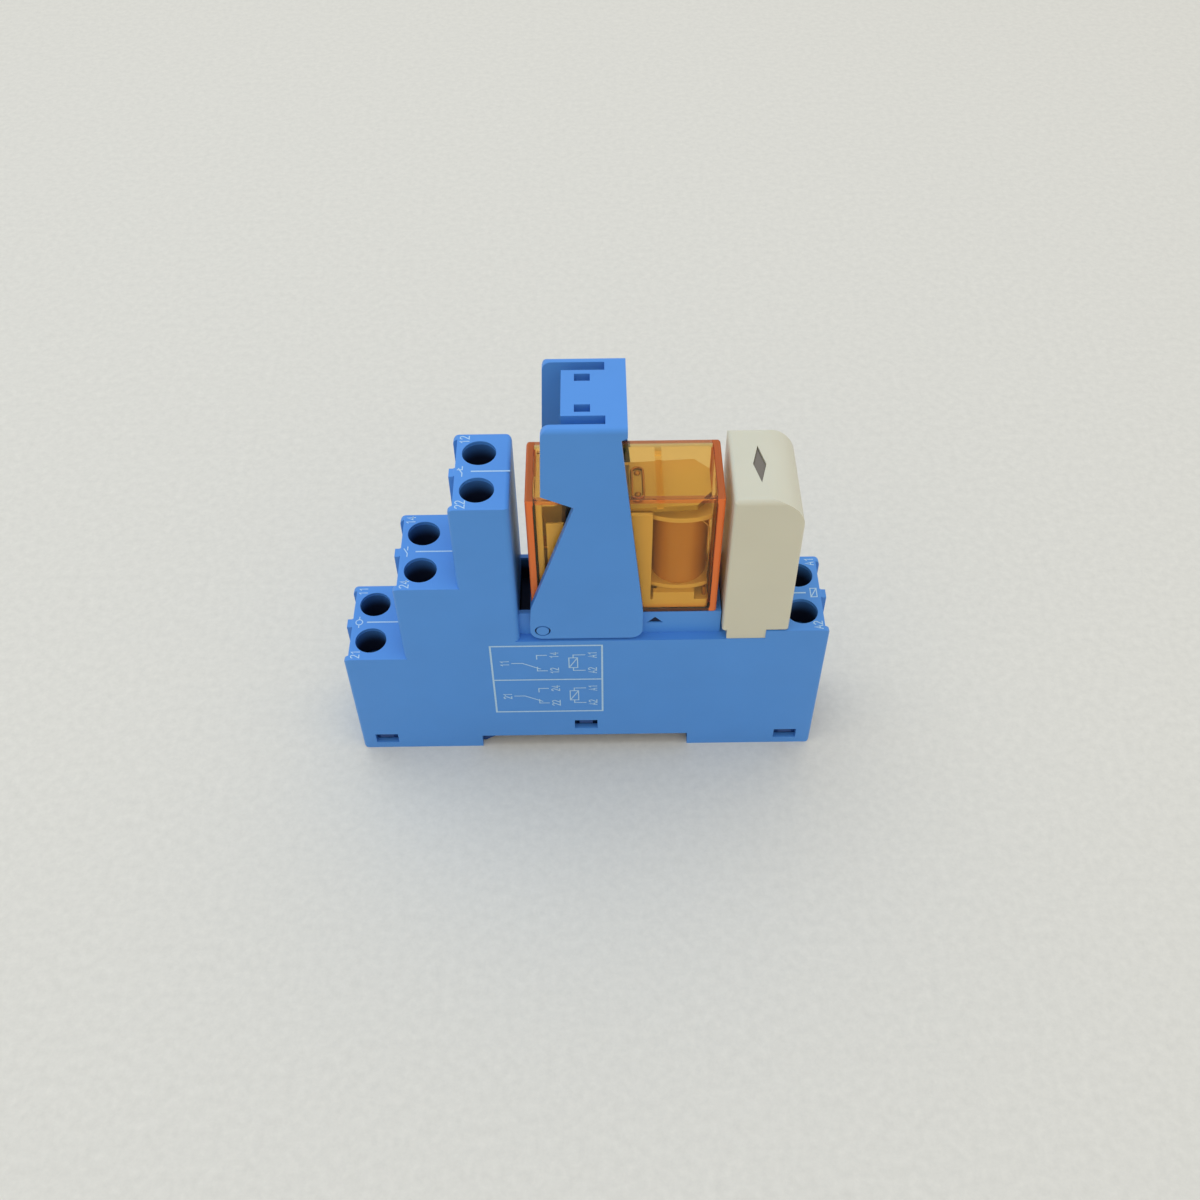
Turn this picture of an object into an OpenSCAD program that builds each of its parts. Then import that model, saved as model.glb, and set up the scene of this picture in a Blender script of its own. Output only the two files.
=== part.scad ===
// Plug-in relay on a rail socket: X runs along the socket from the contact terminals to the coil
// terminals, Y across the two poles and Z up, with the origin under the middle on the feet's plane.

/* [Socket] */
// Length over the side walls
socket_l = 78.2; // [78:0.1:78.6]
// Width across the two poles
socket_w = 15.8; // [15.8:0.1:16.2]
// Thickness of the moulded walls
wall = 1; // [0.9:0.05:1.05]
// Height of the top terminal tier
top_tier_z = 59.5; // [59.3:0.1:59.8]
// Drop from one contact tier to the next
tier_drop = 17.2; // [17.1:0.05:17.3]
// Distance between tiers along the socket
tier_pitch = 10; // [9.95:0.05:10.05]
// Height of the coil tier
coil_tier_z = 31.2; // [31:0.1:31.3]
// Height of the ledge under the clip's side plates
ledge_z = 29.3; // [29.1:0.1:29.4]
// Height of the seat that carries the relay
seat_z = 34.4; // [34.3:0.1:34.5]
// Width of the raised seat
seat_w = 12.6; // [12.5:0.05:12.65]
// Gap between the feet for the rail
rail_gap = 35.8; // [35.6:0.1:36]
// Height of the gap's ceiling
rail_z = 3.1; // [3:0.1:3.2]

/* [Terminals] */
// Distance of a pole's screws from the middle plane
pole_y = 3.85; // [3.8:0.05:3.9]
// Diameter of a screwdriver hole
driver_hole_d = 5.1; // [5:0.1:5.2]
// Depth of a screw head below its tier
head_depth = 5.7; // [5.5:0.1:5.8]
// Diameter of a screw head
head_d = 4.6; // [4.4:0.1:4.6]
// Nominal diameter of a screw's thread
thread_d = 3; // [2.8:0.1:3]
// Height that a clamp cage climbs from open to closed
cage_rise = 2.5; // [2:0.1:2.5]

/* [Relay] */
// Length of the relay's cover
relay_l = 29; // [28.9:0.1:29.1]
// Width of the relay's cover
relay_w = 12.4; // [12.3:0.05:12.4]
// Height of the relay's cover
relay_h = 25; // [24.9:0.1:25.1]
// Left end of the relay's cover
relay_x = -8.1; // [-8.2:0.1:-8]
// Wall of the cover
cover_wall = 0.8; // [0.7:0.05:0.85]
// Diameter of the coil's winding
winding_d = 8.7; // [8.4:0.1:8.8]

/* [Clip] */
// Thickness of the clip's side plates
clip_plate = 1.25; // [1.2:0.05:1.3]
// Distance between the clip's side plates
clip_gap = 12.9; // [12.85:0.05:13]
// Height of the clip's top
clip_z = 74.3; // [74:0.1:74.6]
// Place of the pivot along the socket
pivot_x = -6.5; // [-6.6:0.05:-6.4]
// Height of the pivot
pivot_z = 31.7; // [31.6:0.05:31.8]
// Radius of the pivot pins
pivot_r = 1; // [0.9:0.05:1]

/* [Indicator module] */
// Left end of the module
module_x = 21.9; // [21.8:0.1:22]
// Length of the module along the socket
module_l = 10.55; // [10.4:0.05:10.6]
// Width of the module
module_w = 15.5; // [15.3:0.1:15.6]
// Height of the module's top
module_z = 60.3; // [60:0.1:60.6]
// Radius of the module's big shoulder
shoulder_r = 5.6; // [5.2:0.1:5.8]

/* [Hidden] */
$fn = 48;
SOCKET_BLUE = "#4c80ba";
SHADE_BLUE = "#3d6ba3";
AMBER = "#c8762e";
CREAM = "#d3cbb0";
PLATED_STEEL = "#b9bcc0";
COPPER_ALLOY = "#c39a5a";
RELAY_YELLOW = "#d9b56a";
skin = 0.1; // extra reach of a cutter past the face it opens

// Terminals: break, make and common contacts from the top tier down, then the coil tier
TAGS = [["22", "12"], ["24", "14"], ["21", "11"], ["a2", "a1"]];
SIDES = [-1, 1];
TIERS = [0, 1, 2, 3];
coil = 3;
body_x = socket_l / 2;
end_reach = 4.1;
recess_reach = 3.4;
rib_reach = 4.3;
well_reach = 2.6;
rib_y = 0.85;
far_x = body_x - end_reach;
function tier_x(t) = t == coil ? far_x : (2 - t) * tier_pitch - far_x;
function tier_z(t) = t == coil ? coil_tier_z : top_tier_z - t * tier_drop;
function lowest(t) = t == coil || t == 2;
function tier_foot(t) = lowest(t) ? foot_rim : tier_z(t + 1);
function outward(t) = t == coil ? 1 : -1;

// One terminal from the top down: hole, screw head, cage, bar tongue, wire space
head_h = 1.7;
bar_t = 0.9;
TONGUE_Y = [2.55, 5.15];
INNER_LAYER = [2.5, 4.4];
OUTER_LAYER = [4.7, 5.85];
cage_t = 1.3;
cage_floor_t = 0.9;
cage_side_t = 0.7;
cage_l = 4.4;
cage_w = 5.7;
wire_h = 4.3;
wire_w = 4.4;
play = 0.05;
well_depth = head_depth + head_h;
tongue_drop = well_depth + play * 6 + cage_rise + cage_t + bar_t;
function tongue_z(t) = tier_z(t) - tongue_drop;

// Inside of the socket
inner_y = socket_w / 2 - wall;
plate_z = 4.7;
foot_rim = 6;
tall_x = tier_x(0) + 4.75;
coil_step_x = 28.9;
seat_end = 21.7;
rail_x = -0.3;
foot_l = rail_x - rail_gap / 2;
foot_r = rail_x + rail_gap / 2;

// Relay pins along the socket, in the order of the tiers that they serve
PIN_X = [3.9, -6.1, -1.1, 18.9];
RUN_Z = [25, 19, tongue_z(2), tongue_z(coil)];
pin_t = 0.5;
pin_w = 1.2;
pin_tip_z = 29.9;
fork_z = 25;
fork_top = 32.4;
fork_t = 0.45;
fork_gap = pin_t + 0.3;
fork_half = fork_gap / 2 + fork_t;
module_pin_x = 27;
module_pin_tip = 22;
module_fork_top = 27.4;

// An upright X-Z outline given a width along Y, centred on y
module across(w, y = 0) {
    translate([0, y + w / 2, 0]) rotate([90, 0, 0]) linear_extrude(w) children();
}

// A box from its lowest to its highest corner
module block(low, high) {
    translate(low) cube(high - low);
}

// A box on one pole's side, with y0 and y1 measured outwards from the middle plane
module side_block(side, x, y, z) {
    block([x[0], side > 0 ? y[0] : -y[1], z[0]], [x[1], side > 0 ? y[1] : -y[0], z[1]]);
}

// A rod along Y between two distances from the middle plane
module cross_rod(r, x, z, y0, y1) {
    translate([x, y1, z]) rotate([90, 0, 0]) cylinder(r = r, h = y1 - y0);
}

// What a rounded corner at p takes off an outline that lies towards dir
module corner_sliver(p, r, dir) {
    translate(p) difference() {
        translate([dir.x > 0 ? -skin : -r, dir.y > 0 ? -skin : -r]) square(r + skin);
        translate(dir * r) circle(r);
    }
}

// Side view of the socket's moulding without its raised seat
module socket_outline() {
    foot_corner_r = 0.7;
    tier_corner_r = 1;
    difference() {
        polygon([
            [-body_x, 0], [foot_l, 0], [foot_l, rail_z], [foot_r, rail_z], [foot_r, 0], [body_x, 0],
            [body_x, coil_tier_z], [coil_step_x, coil_tier_z], [coil_step_x, ledge_z], [tall_x, ledge_z],
            for (t = [0, 1, 2]) each [
                [t == 0 ? tall_x : tier_x(t - 1) - end_reach, tier_z(t)],
                [tier_x(t) - end_reach, tier_z(t)]
            ]
        ]);
        for (e = SIDES) corner_sliver([e * body_x, 0], foot_corner_r, [-e, 1]);
        for (t = TIERS)
            corner_sliver([tier_x(t) + outward(t) * end_reach, tier_z(t)], tier_corner_r,
                [-outward(t), -1]);
        corner_sliver([tall_x, top_tier_z], foot_corner_r, [-1, -1]);
    }
}

// What the rounded upright edges of the tiers take off the moulding
module upright_edges() {
    end_r = 0.6;
    tall_r = 1;
    for (s = SIDES) {
        for (t = TIERS) translate([0, 0, lowest(t) ? -skin : tier_foot(t)])
            linear_extrude(tier_z(t) + 1) corner_sliver(
                [tier_x(t) + outward(t) * end_reach, s * socket_w / 2], end_r, [-outward(t), -s]);
        translate([0, 0, ledge_z]) linear_extrude(top_tier_z)
            corner_sliver([tall_x, s * socket_w / 2], tall_r, [-1, -s]);
    }
}

// Screwdriver hole, cage well, wire entry and end recess of one terminal
module terminal_space(t, side) {
    x = tier_x(t);
    out = outward(t);
    top = tier_z(t);
    coil_reach = 3.2;
    inner_end = t == 0 ? tall_x - wall : t == coil ? x - coil_reach : x + tier_pitch - well_reach - wall;
    well_end = x + out * well_reach;
    recess = x + out * recess_reach;
    entry = [tongue_z(t) - wire_h, tongue_z(t)];
    flare = 0.4;
    translate([x, side * pole_y, top - well_depth - skin]) cylinder(d = driver_hole_d, h = well_depth + 1);
    side_block(side, [min(well_end, inner_end), max(well_end, inner_end)], [rib_y, inner_y],
        [plate_z - skin, top - well_depth]);
    side_block(side, [min(recess, recess + out * 2), max(recess, recess + out * 2)], [rib_y, inner_y],
        [tier_foot(t), top + 1]);
    for (grow = [0, flare]) {
        reach = grow > 0 ? recess - out * flare : well_end - out * skin;
        side_block(side, [min(reach, recess + out), max(reach, recess + out)],
            [pole_y - wire_w / 2 - grow, pole_y + wire_w / 2 + grow], [entry[0] - grow, entry[1] + grow]);
    }
}

// Rib down the middle of a tier's end, between the two wire entries
module end_rib(t) {
    x0 = tier_x(t) + outward(t) * recess_reach;
    x1 = tier_x(t) + outward(t) * rib_reach;
    top_drop = 0.2;
    block([min(x0, x1), -rib_y, tier_foot(t)], [max(x0, x1), rib_y, tier_z(t) - top_drop]);
}

// Windows for the base plate's snap tabs: middle of each along X, then its lower edge
SNAPS = [[-34.8, 1.5], [0, 5], [34.6, 1.5]];
snap_w = 3.9;
snap_h = 2.4;

module socket_housing() {
    pin_slot = [0.9, 1.9];
    module_slot = [1.2, 1.8];
    seat_skin = 1.2;
    seat_inner_y = seat_w / 2 - wall;
    part_x = [20.9, 22];
    coil_room_end = 30.8;
    toe_room_x = [pivot_x + 1.2, pivot_x + 4.1];
    toe_room_y = seat_inner_y + 0.35;
    toe_room_z = 32;
    latch_slot_y = 4.15;
    latch_slot_z = 2.55;
    mark = [11.3, 31.8];
    mark_w = 2.6;
    mark_h = 1.4;
    mark_depth = 0.6;
    pocket_end = relay_x - 0.3;
    pocket_wall = 0.8;
    pocket_floor = ledge_z + 0.2;
    color(SOCKET_BLUE) difference() {
        union() {
            across(socket_w) socket_outline();
            block([tall_x - skin, -seat_w / 2, ledge_z - skin], [seat_end, seat_w / 2, seat_z]);
            for (t = TIERS) end_rib(t);
            cross_rod(pivot_r, pivot_x, pivot_z, -clip_gap / 2 - clip_plate, clip_gap / 2 + clip_plate);
        }
        block([-body_x + wall, -inner_y, -skin], [body_x - wall, inner_y, plate_z]);
        block([body_x - wall - skin, -latch_slot_y, -skin], [body_x + skin, latch_slot_y, latch_slot_z]);
        for (t = TIERS, side = SIDES) {
            terminal_space(t, side);
            side_block(side, [min(tier_x(t), PIN_X[t]), max(tier_x(t), PIN_X[t])],
                [INNER_LAYER[0] - skin, OUTER_LAYER[1] + skin], [RUN_Z[t], RUN_Z[t] + bar_t + skin]);
            side_block(side, [PIN_X[t] - pin_slot[0] / 2, PIN_X[t] + pin_slot[0] / 2],
                [pole_y - pin_slot[1] / 2, pole_y + pin_slot[1] / 2],
                [seat_z - seat_skin - skin, seat_z + skin]);
        }
        for (side = SIDES) {
            side_block(side, [tall_x, part_x[0]], [rib_y, inner_y], [plate_z - skin, ledge_z - wall]);
            side_block(side, [pocket_end + wall, part_x[0] - skin], [rib_y, seat_inner_y],
                [ledge_z - wall - skin, seat_z - seat_skin]);
            side_block(side, [part_x[1], coil_room_end], [rib_y, inner_y],
                [plate_z - skin, ledge_z - wall]);
            side_block(side, [module_pin_x - module_slot[0] / 2, module_pin_x + module_slot[0] / 2],
                [pole_y - module_slot[1] / 2, pole_y + module_slot[1] / 2],
                [ledge_z - wall - skin, ledge_z + skin]);
            side_block(side, toe_room_x, [toe_room_y, seat_w], [toe_room_z, seat_z + skin]);
            for (snap = SNAPS)
                side_block(side, [snap[0] - snap_w / 2, snap[0] + snap_w / 2], [inner_y - skin, socket_w],
                    [snap[1], snap[1] + snap_h]);
        }
        block([tall_x, pocket_wall - seat_w / 2, pocket_floor],
            [pocket_end, seat_w / 2 - pocket_wall, seat_z + skin]);
        upright_edges();
        across(mark_depth * 2, -seat_w / 2)
            polygon([mark + [-mark_w / 2, 0], mark + [mark_w / 2, 0], mark + [0, mark_h]]);
    }
}

// Snap tab on the base plate's edge, with its lead-in slope upwards
module snap_tab(side, snap) {
    tab_w = 2.3;
    gap = 0.1;
    tab_y = inner_y - gap;
    finger_t = 0.9;
    root = 1.5;
    lip = 0.75;
    lip_h = 0.4;
    z0 = snap[1] + snap_h / 2 - gap;
    z1 = snap[1] + snap_h - gap;
    side_block(side, [snap[0] - tab_w / 2, snap[0] + tab_w / 2], [tab_y - finger_t, tab_y],
        [plate_z - root, z1]);
    translate([snap[0] + tab_w / 2, 0, 0]) rotate([0, -90, 0]) linear_extrude(tab_w)
        polygon([[z0, side * (tab_y - skin)], [z0, side * (tab_y + lip)],
            [z0 + lip_h, side * (tab_y + lip)], [z1, side * (tab_y - skin)]]);
}

latch_y = 4;
latch_top = 2.4;
latch_low = 0.35;
latch_window = [24, 33];
latch_window_y = 1.6;
latch_stop = [32.2, 32.9];

module base_plate() {
    gap = 0.1;
    low = 0.3;
    hook_x = -15.9;
    hook_z = [1.5, 1.9];
    hook_root = 0.5;
    ceiling = rail_z + gap;
    x1 = body_x - wall - gap;
    pocket_in = 2;
    pocket_y = inner_y - 1.5;
    pocket_roof = 1.6;
    channel_in = 1;
    stop_y = 1.2;
    stop_low = 0.6;
    color(SHADE_BLUE) {
        difference() {
            across(2 * (inner_y - gap)) polygon([
                [-x1, low], [foot_l + hook_root, low], [hook_x, hook_z[0]], [hook_x, hook_z[1]],
                [foot_l + gap, hook_z[1]], [foot_l + gap, ceiling],
                [foot_r - gap, ceiling], [foot_r - gap, low], [x1, low], [x1, plate_z], [-x1, plate_z]
            ]);
            block([pocket_in - x1, -pocket_y, -skin],
                [foot_l - pocket_in, pocket_y, plate_z - pocket_roof]);
            block([foot_r - channel_in, -latch_y - gap, -skin], [body_x, latch_y + gap, latch_top + gap]);
        }
        block([latch_stop[0], -stop_y, stop_low], [latch_stop[1], stop_y, latch_top + gap + skin]);
        for (side = SIDES, snap = SNAPS) snap_tab(side, snap);
    }
}

module rail_latch() {
    nose_x = 15.7;
    nose_z = [1.5, 1.9];
    ramp_x = foot_r - 0.2;
    neck_x = foot_r + 0.6;
    tail_x = body_x - 0.1;
    pry_slot = [35.8, 37.2];
    pry_slot_y = 2.2;
    color(SHADE_BLUE) difference() {
        across(2 * latch_y) polygon([
            [ramp_x, latch_low], [nose_x, nose_z[0]], [nose_x, nose_z[1]], [neck_x, nose_z[1]],
            [neck_x, latch_top], [tail_x, latch_top], [tail_x, latch_low]
        ]);
        block([latch_window[0], -latch_window_y, 0], [latch_window[1], latch_window_y, latch_top + skin]);
        block([pry_slot[0], -pry_slot_y, 0], [pry_slot[1], pry_slot_y, latch_top + skin]);
    }
}

// Serpentine steel strip between the latch's window and the stop on the base plate
module latch_spring() {
    bends = 9;
    strip = 0.35;
    gap = 0.15;
    x0 = latch_window[0] + gap;
    pitch = (latch_stop[0] - gap - x0 - strip) / bends;
    reach = 1.35;
    low = 0.8;
    height = 1.2;
    color(PLATED_STEEL) translate([0, 0, low]) linear_extrude(height) {
        for (i = [0 : bends]) translate([x0 + i * pitch, -reach]) square([strip, 2 * reach]);
        for (i = [0 : bends - 1])
            translate([x0 + i * pitch, i % 2 == 0 ? reach - strip : -reach]) square([pitch + strip, strip]);
    }
}

module terminal_screw(t, side) {
    slot_w = 0.8;
    slot_depth = 0.9;
    cross_reach = 1.4;
    top = tier_z(t) - head_depth;
    tip = tongue_z(t) + bar_t + play;
    color(PLATED_STEEL) translate([tier_x(t), side * pole_y, 0]) difference() {
        union() {
            translate([0, 0, top - head_h]) cylinder(d = head_d, h = head_h);
            translate([0, 0, tip]) cylinder(d = thread_d, h = top - head_h / 2 - tip);
        }
        for (slot = [[0, head_d], [90, cross_reach]]) rotate(slot[0])
            block([-slot[1], -slot_w / 2, top - slot_depth], [slot[1], slot_w / 2, top + 1]);
    }
}

// Steel loop round the bar's tongue, drawn open
module clamp_cage(t, side) {
    nut_low = tongue_z(t) + bar_t + 3 * play;
    floor_top = tongue_z(t) - wire_h;
    color(PLATED_STEEL) translate([tier_x(t), side * pole_y, 0]) difference() {
        block([-cage_l / 2, -cage_w / 2, floor_top - cage_floor_t],
            [cage_l / 2, cage_w / 2, nut_low + cage_t]);
        block([-cage_l, -cage_w / 2 + cage_side_t, floor_top], [cage_l, cage_w / 2 - cage_side_t, nut_low]);
        translate([0, 0, nut_low - 1]) cylinder(d = thread_d + 3 * play, h = cage_t + 2);
    }
}

// Two leaves that grip a pin, standing on the strip below them
module fork(x, low, top) {
    difference() {
        translate([x - fork_half, low]) square([2 * fork_half, top - low]);
        translate([x - fork_gap / 2, low + bar_t]) square([fork_gap, top - low]);
    }
}

// An outline given the thickness of one layer of one pole
module layer(side, y) {
    across(y[1] - y[0], side * (y[0] + y[1]) / 2) children();
}

// Stamped strip from a clamp's tongue to the fork under a relay pin; the top one passes outside the rest
module contact_bar(t, side) {
    start = tier_x(t) + outward(t) * (cage_l / 2 - 2 * play);
    top_drop_x = tall_x - wall - 0.4;
    mid_drop_x = tier_x(0) - 4.6;
    drop_x = t == 0 ? top_drop_x : t == 1 ? mid_drop_x : PIN_X[t];
    z = tongue_z(t);
    run = RUN_Z[t];
    pin = PIN_X[t];
    foot_y = [INNER_LAYER[0], t == 0 ? OUTER_LAYER[1] : INNER_LAYER[1]];
    color(COPPER_ALLOY) {
        layer(side, TONGUE_Y) translate([min(start, drop_x), z]) square([abs(drop_x - start), bar_t]);
        if (z > run) layer(side, t == 0 ? OUTER_LAYER : INNER_LAYER) {
            translate([drop_x - bar_t, run]) square([bar_t, z - run + bar_t]);
            translate([drop_x - bar_t, run]) square([pin - drop_x + bar_t, bar_t]);
        }
        layer(side, foot_y) translate([pin - bar_t / 2, run]) square(bar_t);
        layer(side, INNER_LAYER) {
            translate([pin - bar_t / 2, run]) square([bar_t, fork_z - run + bar_t]);
            fork(pin, fork_z, fork_top);
            if (t == coil) fork(module_pin_x, run, module_fork_top);
        }
    }
}

// Side plate of the clip, with the notch that clears the tall tier when the clip swings
module clip_outline() {
    lobe_r = 1.95;
    heel_r = 2;
    top_r = 1.3;
    heel_x = 9.3;
    low = pivot_z - lobe_r;
    left = pivot_x - lobe_r;
    top_x = -5.2;
    difference() {
        polygon([
            [left, low], [heel_x, low], [heel_x, 36],
            [5.7, clip_z - 2.1], [6.6, clip_z - 1.55], [6.6, clip_z], [top_x, clip_z],
            [-5.7, 61.7], [-1, 59.4], [-8.15, 37.1], [left, 33.6]
        ]);
        corner_sliver([left, low], lobe_r, [1, 1]);
        corner_sliver([heel_x, low], heel_r, [-1, 1]);
        corner_sliver([top_x, clip_z], top_r, [1, -1]);
        translate([pivot_x, pivot_z]) circle(pivot_r + 0.08);
    }
}

module retaining_clip() {
    half = clip_gap / 2;
    bridge_t = 1.5;
    bridge_x = [3.6, 6.6];
    tongue_x = -2.5;
    tongue_y = 4.75;
    window_x = [-0.65, 1.55];
    window_y = [2.45, 3.95];
    nib_x = [-1, 0.4];
    nib_z = [relay_z + relay_h + 0.3, relay_z + relay_h + 1.7];
    nib_y = 5.4;
    toe_x = [pivot_x + 1.9, pivot_x + 3.3];
    toe_z = [pivot_z + 0.9, relay_z - 0.25];
    toe_y = 5.8;
    lip_x = 5.7;
    lip_t = 1.2;
    edge_r = 0.8;
    ring_r = pivot_r + 0.25;
    ring_depth = 0.4;
    outer = half + clip_plate;
    color(SOCKET_BLUE) {
        difference() {
            block([tongue_x, -half - skin, clip_z - bridge_t], [bridge_x[1], half + skin, clip_z]);
            for (side = SIDES) {
                side_block(side, [tongue_x - 1, bridge_x[0]], [tongue_y, half + 1],
                    [clip_z - bridge_t - 1, clip_z + 1]);
                side_block(side, window_x, window_y, [clip_z - bridge_t - 1, clip_z + 1]);
            }
            block([lip_x, -half - 1, clip_z - bridge_t - 1], [bridge_x[1] + 1, half + 1, clip_z - lip_t]);
        }
        for (side = SIDES) {
            difference() {
                across(clip_plate, side * (half + clip_plate / 2)) clip_outline();
                translate([relay_x, 0, 0]) rotate([90, 0, 90]) linear_extrude(relay_l)
                    corner_sliver([side * outer, clip_z], edge_r, [-side, -1]);
                cross_rod(ring_r, pivot_x, pivot_z, side * outer - ring_depth, side * outer + ring_depth);
            }
            side_block(side, nib_x, [nib_y, half + skin], nib_z);
            side_block(side, toe_x, [toe_y, half + skin], toe_z);
        }
    }
}

// Relay: heights above the seat
relay_z = seat_z;
relay_end = relay_x + relay_l;
base_low = relay_z + 0.3;
base_top = relay_z + 2.2;
end_wall = cover_wall + 0.25;
in_x0 = relay_x + end_wall;
in_x1 = relay_end - end_wall;
in_y = relay_w / 2 - cover_wall;
coil_x = 14.95;
coil_low = 39.3;
coil_top = 53.2;
flange_t = 0.9;
core_r = 2;
yoke_x = [9.45, 10.5];
yoke_y = 4.4;
yoke_top = 54.95;
hinge_x = 9.95;
hinge_z = 55.55;

// Plan of the cover's inside, drawn in by inset
module cover_plan(inset) {
    inner_r = 0.9;
    low = [in_x0 + inset, inset - in_y];
    high = [in_x1 - inset, in_y - inset];
    difference() {
        translate(low) square(high - low);
        for (e = [[low.x, 1], [high.x, -1]], s = SIDES)
            corner_sliver([e[0], s * high.y], inner_r, [e[1], -s]);
    }
}

module relay_cover() {
    edge_r = 0.5;
    rib_x = [11, 12];
    rib_h = 0.7;
    leg_h = 1.7;
    leg_t = 0.4;
    roof = relay_z + relay_h - cover_wall;
    color(AMBER, 0.6) difference() {
        intersection() {
            across(relay_w) difference() {
                translate([relay_x, relay_z]) square([relay_l, relay_h]);
                for (e = [[relay_x, 1], [relay_end, -1]])
                    corner_sliver([e[0], relay_z + relay_h], edge_r, [e[1], -1]);
            }
            linear_extrude(relay_z + relay_h + 1) difference() {
                translate([relay_x, -relay_w / 2]) square([relay_l, relay_w]);
                for (e = [[relay_x, 1], [relay_end, -1]], s = SIDES)
                    corner_sliver([e[0], s * relay_w / 2], edge_r, [e[1], -s]);
            }
        }
        difference() {
            translate([0, 0, relay_z - 1]) linear_extrude(roof - relay_z + 1) cover_plan(0);
            block([rib_x[0], -in_y - 1, roof - rib_h], [rib_x[1], in_y + 1, roof + 1]);
            for (side = SIDES) side_block(side, rib_x, [in_y - leg_t, in_y + 1], [roof - leg_h, roof]);
        }
    }
}

// Insulating base with the barrier between coil and contacts, and side panels along the cover's walls
module relay_base() {
    fit = 0.05;
    barrier_x = [8.6, yoke_x[1]];
    barrier_z = 54.6;
    step_x = [10.9, 17.3];
    step_w = 1.6;
    step_h = 1.7;
    // Each panel from the contact end: ends along X, inner face, top
    panels = [[-6.6, -5.7, 5, 58.2], [-5.2, -2.6, 5, 54], [5.9, yoke_x[1], 4.75, 55.6]];
    color(RELAY_YELLOW) difference() {
        union() {
            translate([0, 0, base_low]) linear_extrude(base_top - base_low) cover_plan(fit);
            block([barrier_x[0], -in_y + fit, base_low], [barrier_x[1], in_y - fit, barrier_z]);
            for (side = SIDES) {
                side_block(side, step_x, [in_y - step_w, in_y - fit], [base_low, base_top + step_h]);
                for (panel = panels)
                    side_block(side, [panel[0], panel[1]], [panel[2], in_y - fit], [base_low, panel[3]]);
            }
        }
        block([yoke_x[0], -yoke_y, base_top], [yoke_x[1] + 1, yoke_y, barrier_z + 1]);
        for (x = PIN_X, side = SIDES)
            side_block(side, [x - pin_t / 2, x + pin_t / 2], [pole_y - pin_w / 2, pole_y + pin_w / 2],
                [base_low - 1, base_top + 3]);
    }
}

// Bobbin with flanges that bow outwards along both sides
module coil_bobbin() {
    flange_y = 4.75;
    flange_x = [yoke_x[1] + 0.1, 19.5];
    bow_r = 11.6;
    barrel_r = core_r + 0.7;
    color(RELAY_YELLOW) difference() {
        union() {
            for (z = [coil_low - flange_t, coil_top])
                translate([0, 0, z]) linear_extrude(flange_t) intersection() {
                    translate([flange_x[0], -flange_y]) square([flange_x[1] - flange_x[0], 2 * flange_y]);
                    translate([coil_x, flange_y - bow_r]) circle(bow_r);
                    translate([coil_x, bow_r - flange_y]) circle(bow_r);
                }
            translate([coil_x, 0, coil_low - flange_t])
                cylinder(r = barrel_r, h = coil_top - coil_low + flange_t);
        }
        translate([coil_x, 0, coil_low - 2]) cylinder(r = core_r, h = 20);
    }
}

module coil_winding() {
    barrel_r = core_r + 0.7;
    color("#9e6a33") translate([coil_x, 0, coil_low]) difference() {
        cylinder(d = winding_d, h = coil_top - coil_low);
        translate([0, 0, -1]) cylinder(r = barrel_r, h = coil_top);
    }
}

module coil_core() {
    pole_r = 3.2;
    pole_t = 1.15;
    pole_low = coil_top + flange_t;
    color(PLATED_STEEL) translate([coil_x, 0, 0]) {
        translate([0, 0, base_top]) cylinder(r = core_r, h = pole_low - base_top);
        translate([0, 0, pole_low]) cylinder(r = pole_r, h = pole_t);
    }
}

module yoke() {
    foot_end = 17.6;
    foot_y = 3;
    foot_top = coil_low - flange_t;
    color(PLATED_STEEL) difference() {
        union() {
            block([yoke_x[0], -yoke_y, base_top], [yoke_x[1], yoke_y, yoke_top]);
            block([yoke_x[0], -foot_y, base_top], [foot_end, foot_y, foot_top]);
        }
        translate([coil_x, 0, base_top - 1]) cylinder(r = core_r, h = 4);
    }
}

arm_x = [7.2, 8];
arm_low = 44.6;
plate_low = 55.4;
plate_t = 1;

// Bent armature, drawn open: its plate stands off the pole by the angle it closes
module armature() {
    open_angle = 3.3;
    reach = 19.2;
    half = 4.6;
    chamfer = 2.2;
    arm_y = 2.4;
    knuckle_r = 0.5;
    color(PLATED_STEEL) {
        translate([hinge_x, 0, hinge_z]) rotate([0, -open_angle, 0])
            translate([-hinge_x, 0, plate_low - hinge_z]) linear_extrude(plate_t) polygon([
                [arm_x[0], -half], [reach - chamfer, -half], [reach, chamfer - half],
                [reach, half - chamfer], [reach - chamfer, half], [arm_x[0], half]
            ]);
        block([arm_x[0], -arm_y, arm_low], [arm_x[1], arm_y, plate_low + plate_t / 2]);
        cross_rod(knuckle_r, hinge_x, hinge_z, -half, half);
    }
}

card_x = [-0.83, 0.5];
card_z = [45, 47];

// Stem from the armature's arm to a bar that pushes both blades
module contact_card() {
    stem_y = 1.5;
    bar_y = 5;
    color(RELAY_YELLOW) {
        block([card_x[0], -stem_y, card_z[0]], [arm_x[0], stem_y, card_z[1]]);
        block([card_x[0], -bar_y, card_z[0]], [card_x[1], bar_y, card_z[1]]);
    }
}

strip_t = 0.4;
strip_w = 2.2;
strip_top = 51.5;
shelf_z = 48.4;
contact_z = 50.1;
rivet_r = 1;
rivet_h = 0.5;
blade_t = 0.3;
contact_gap = 1.1;
blade_x = PIN_X[2];

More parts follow.
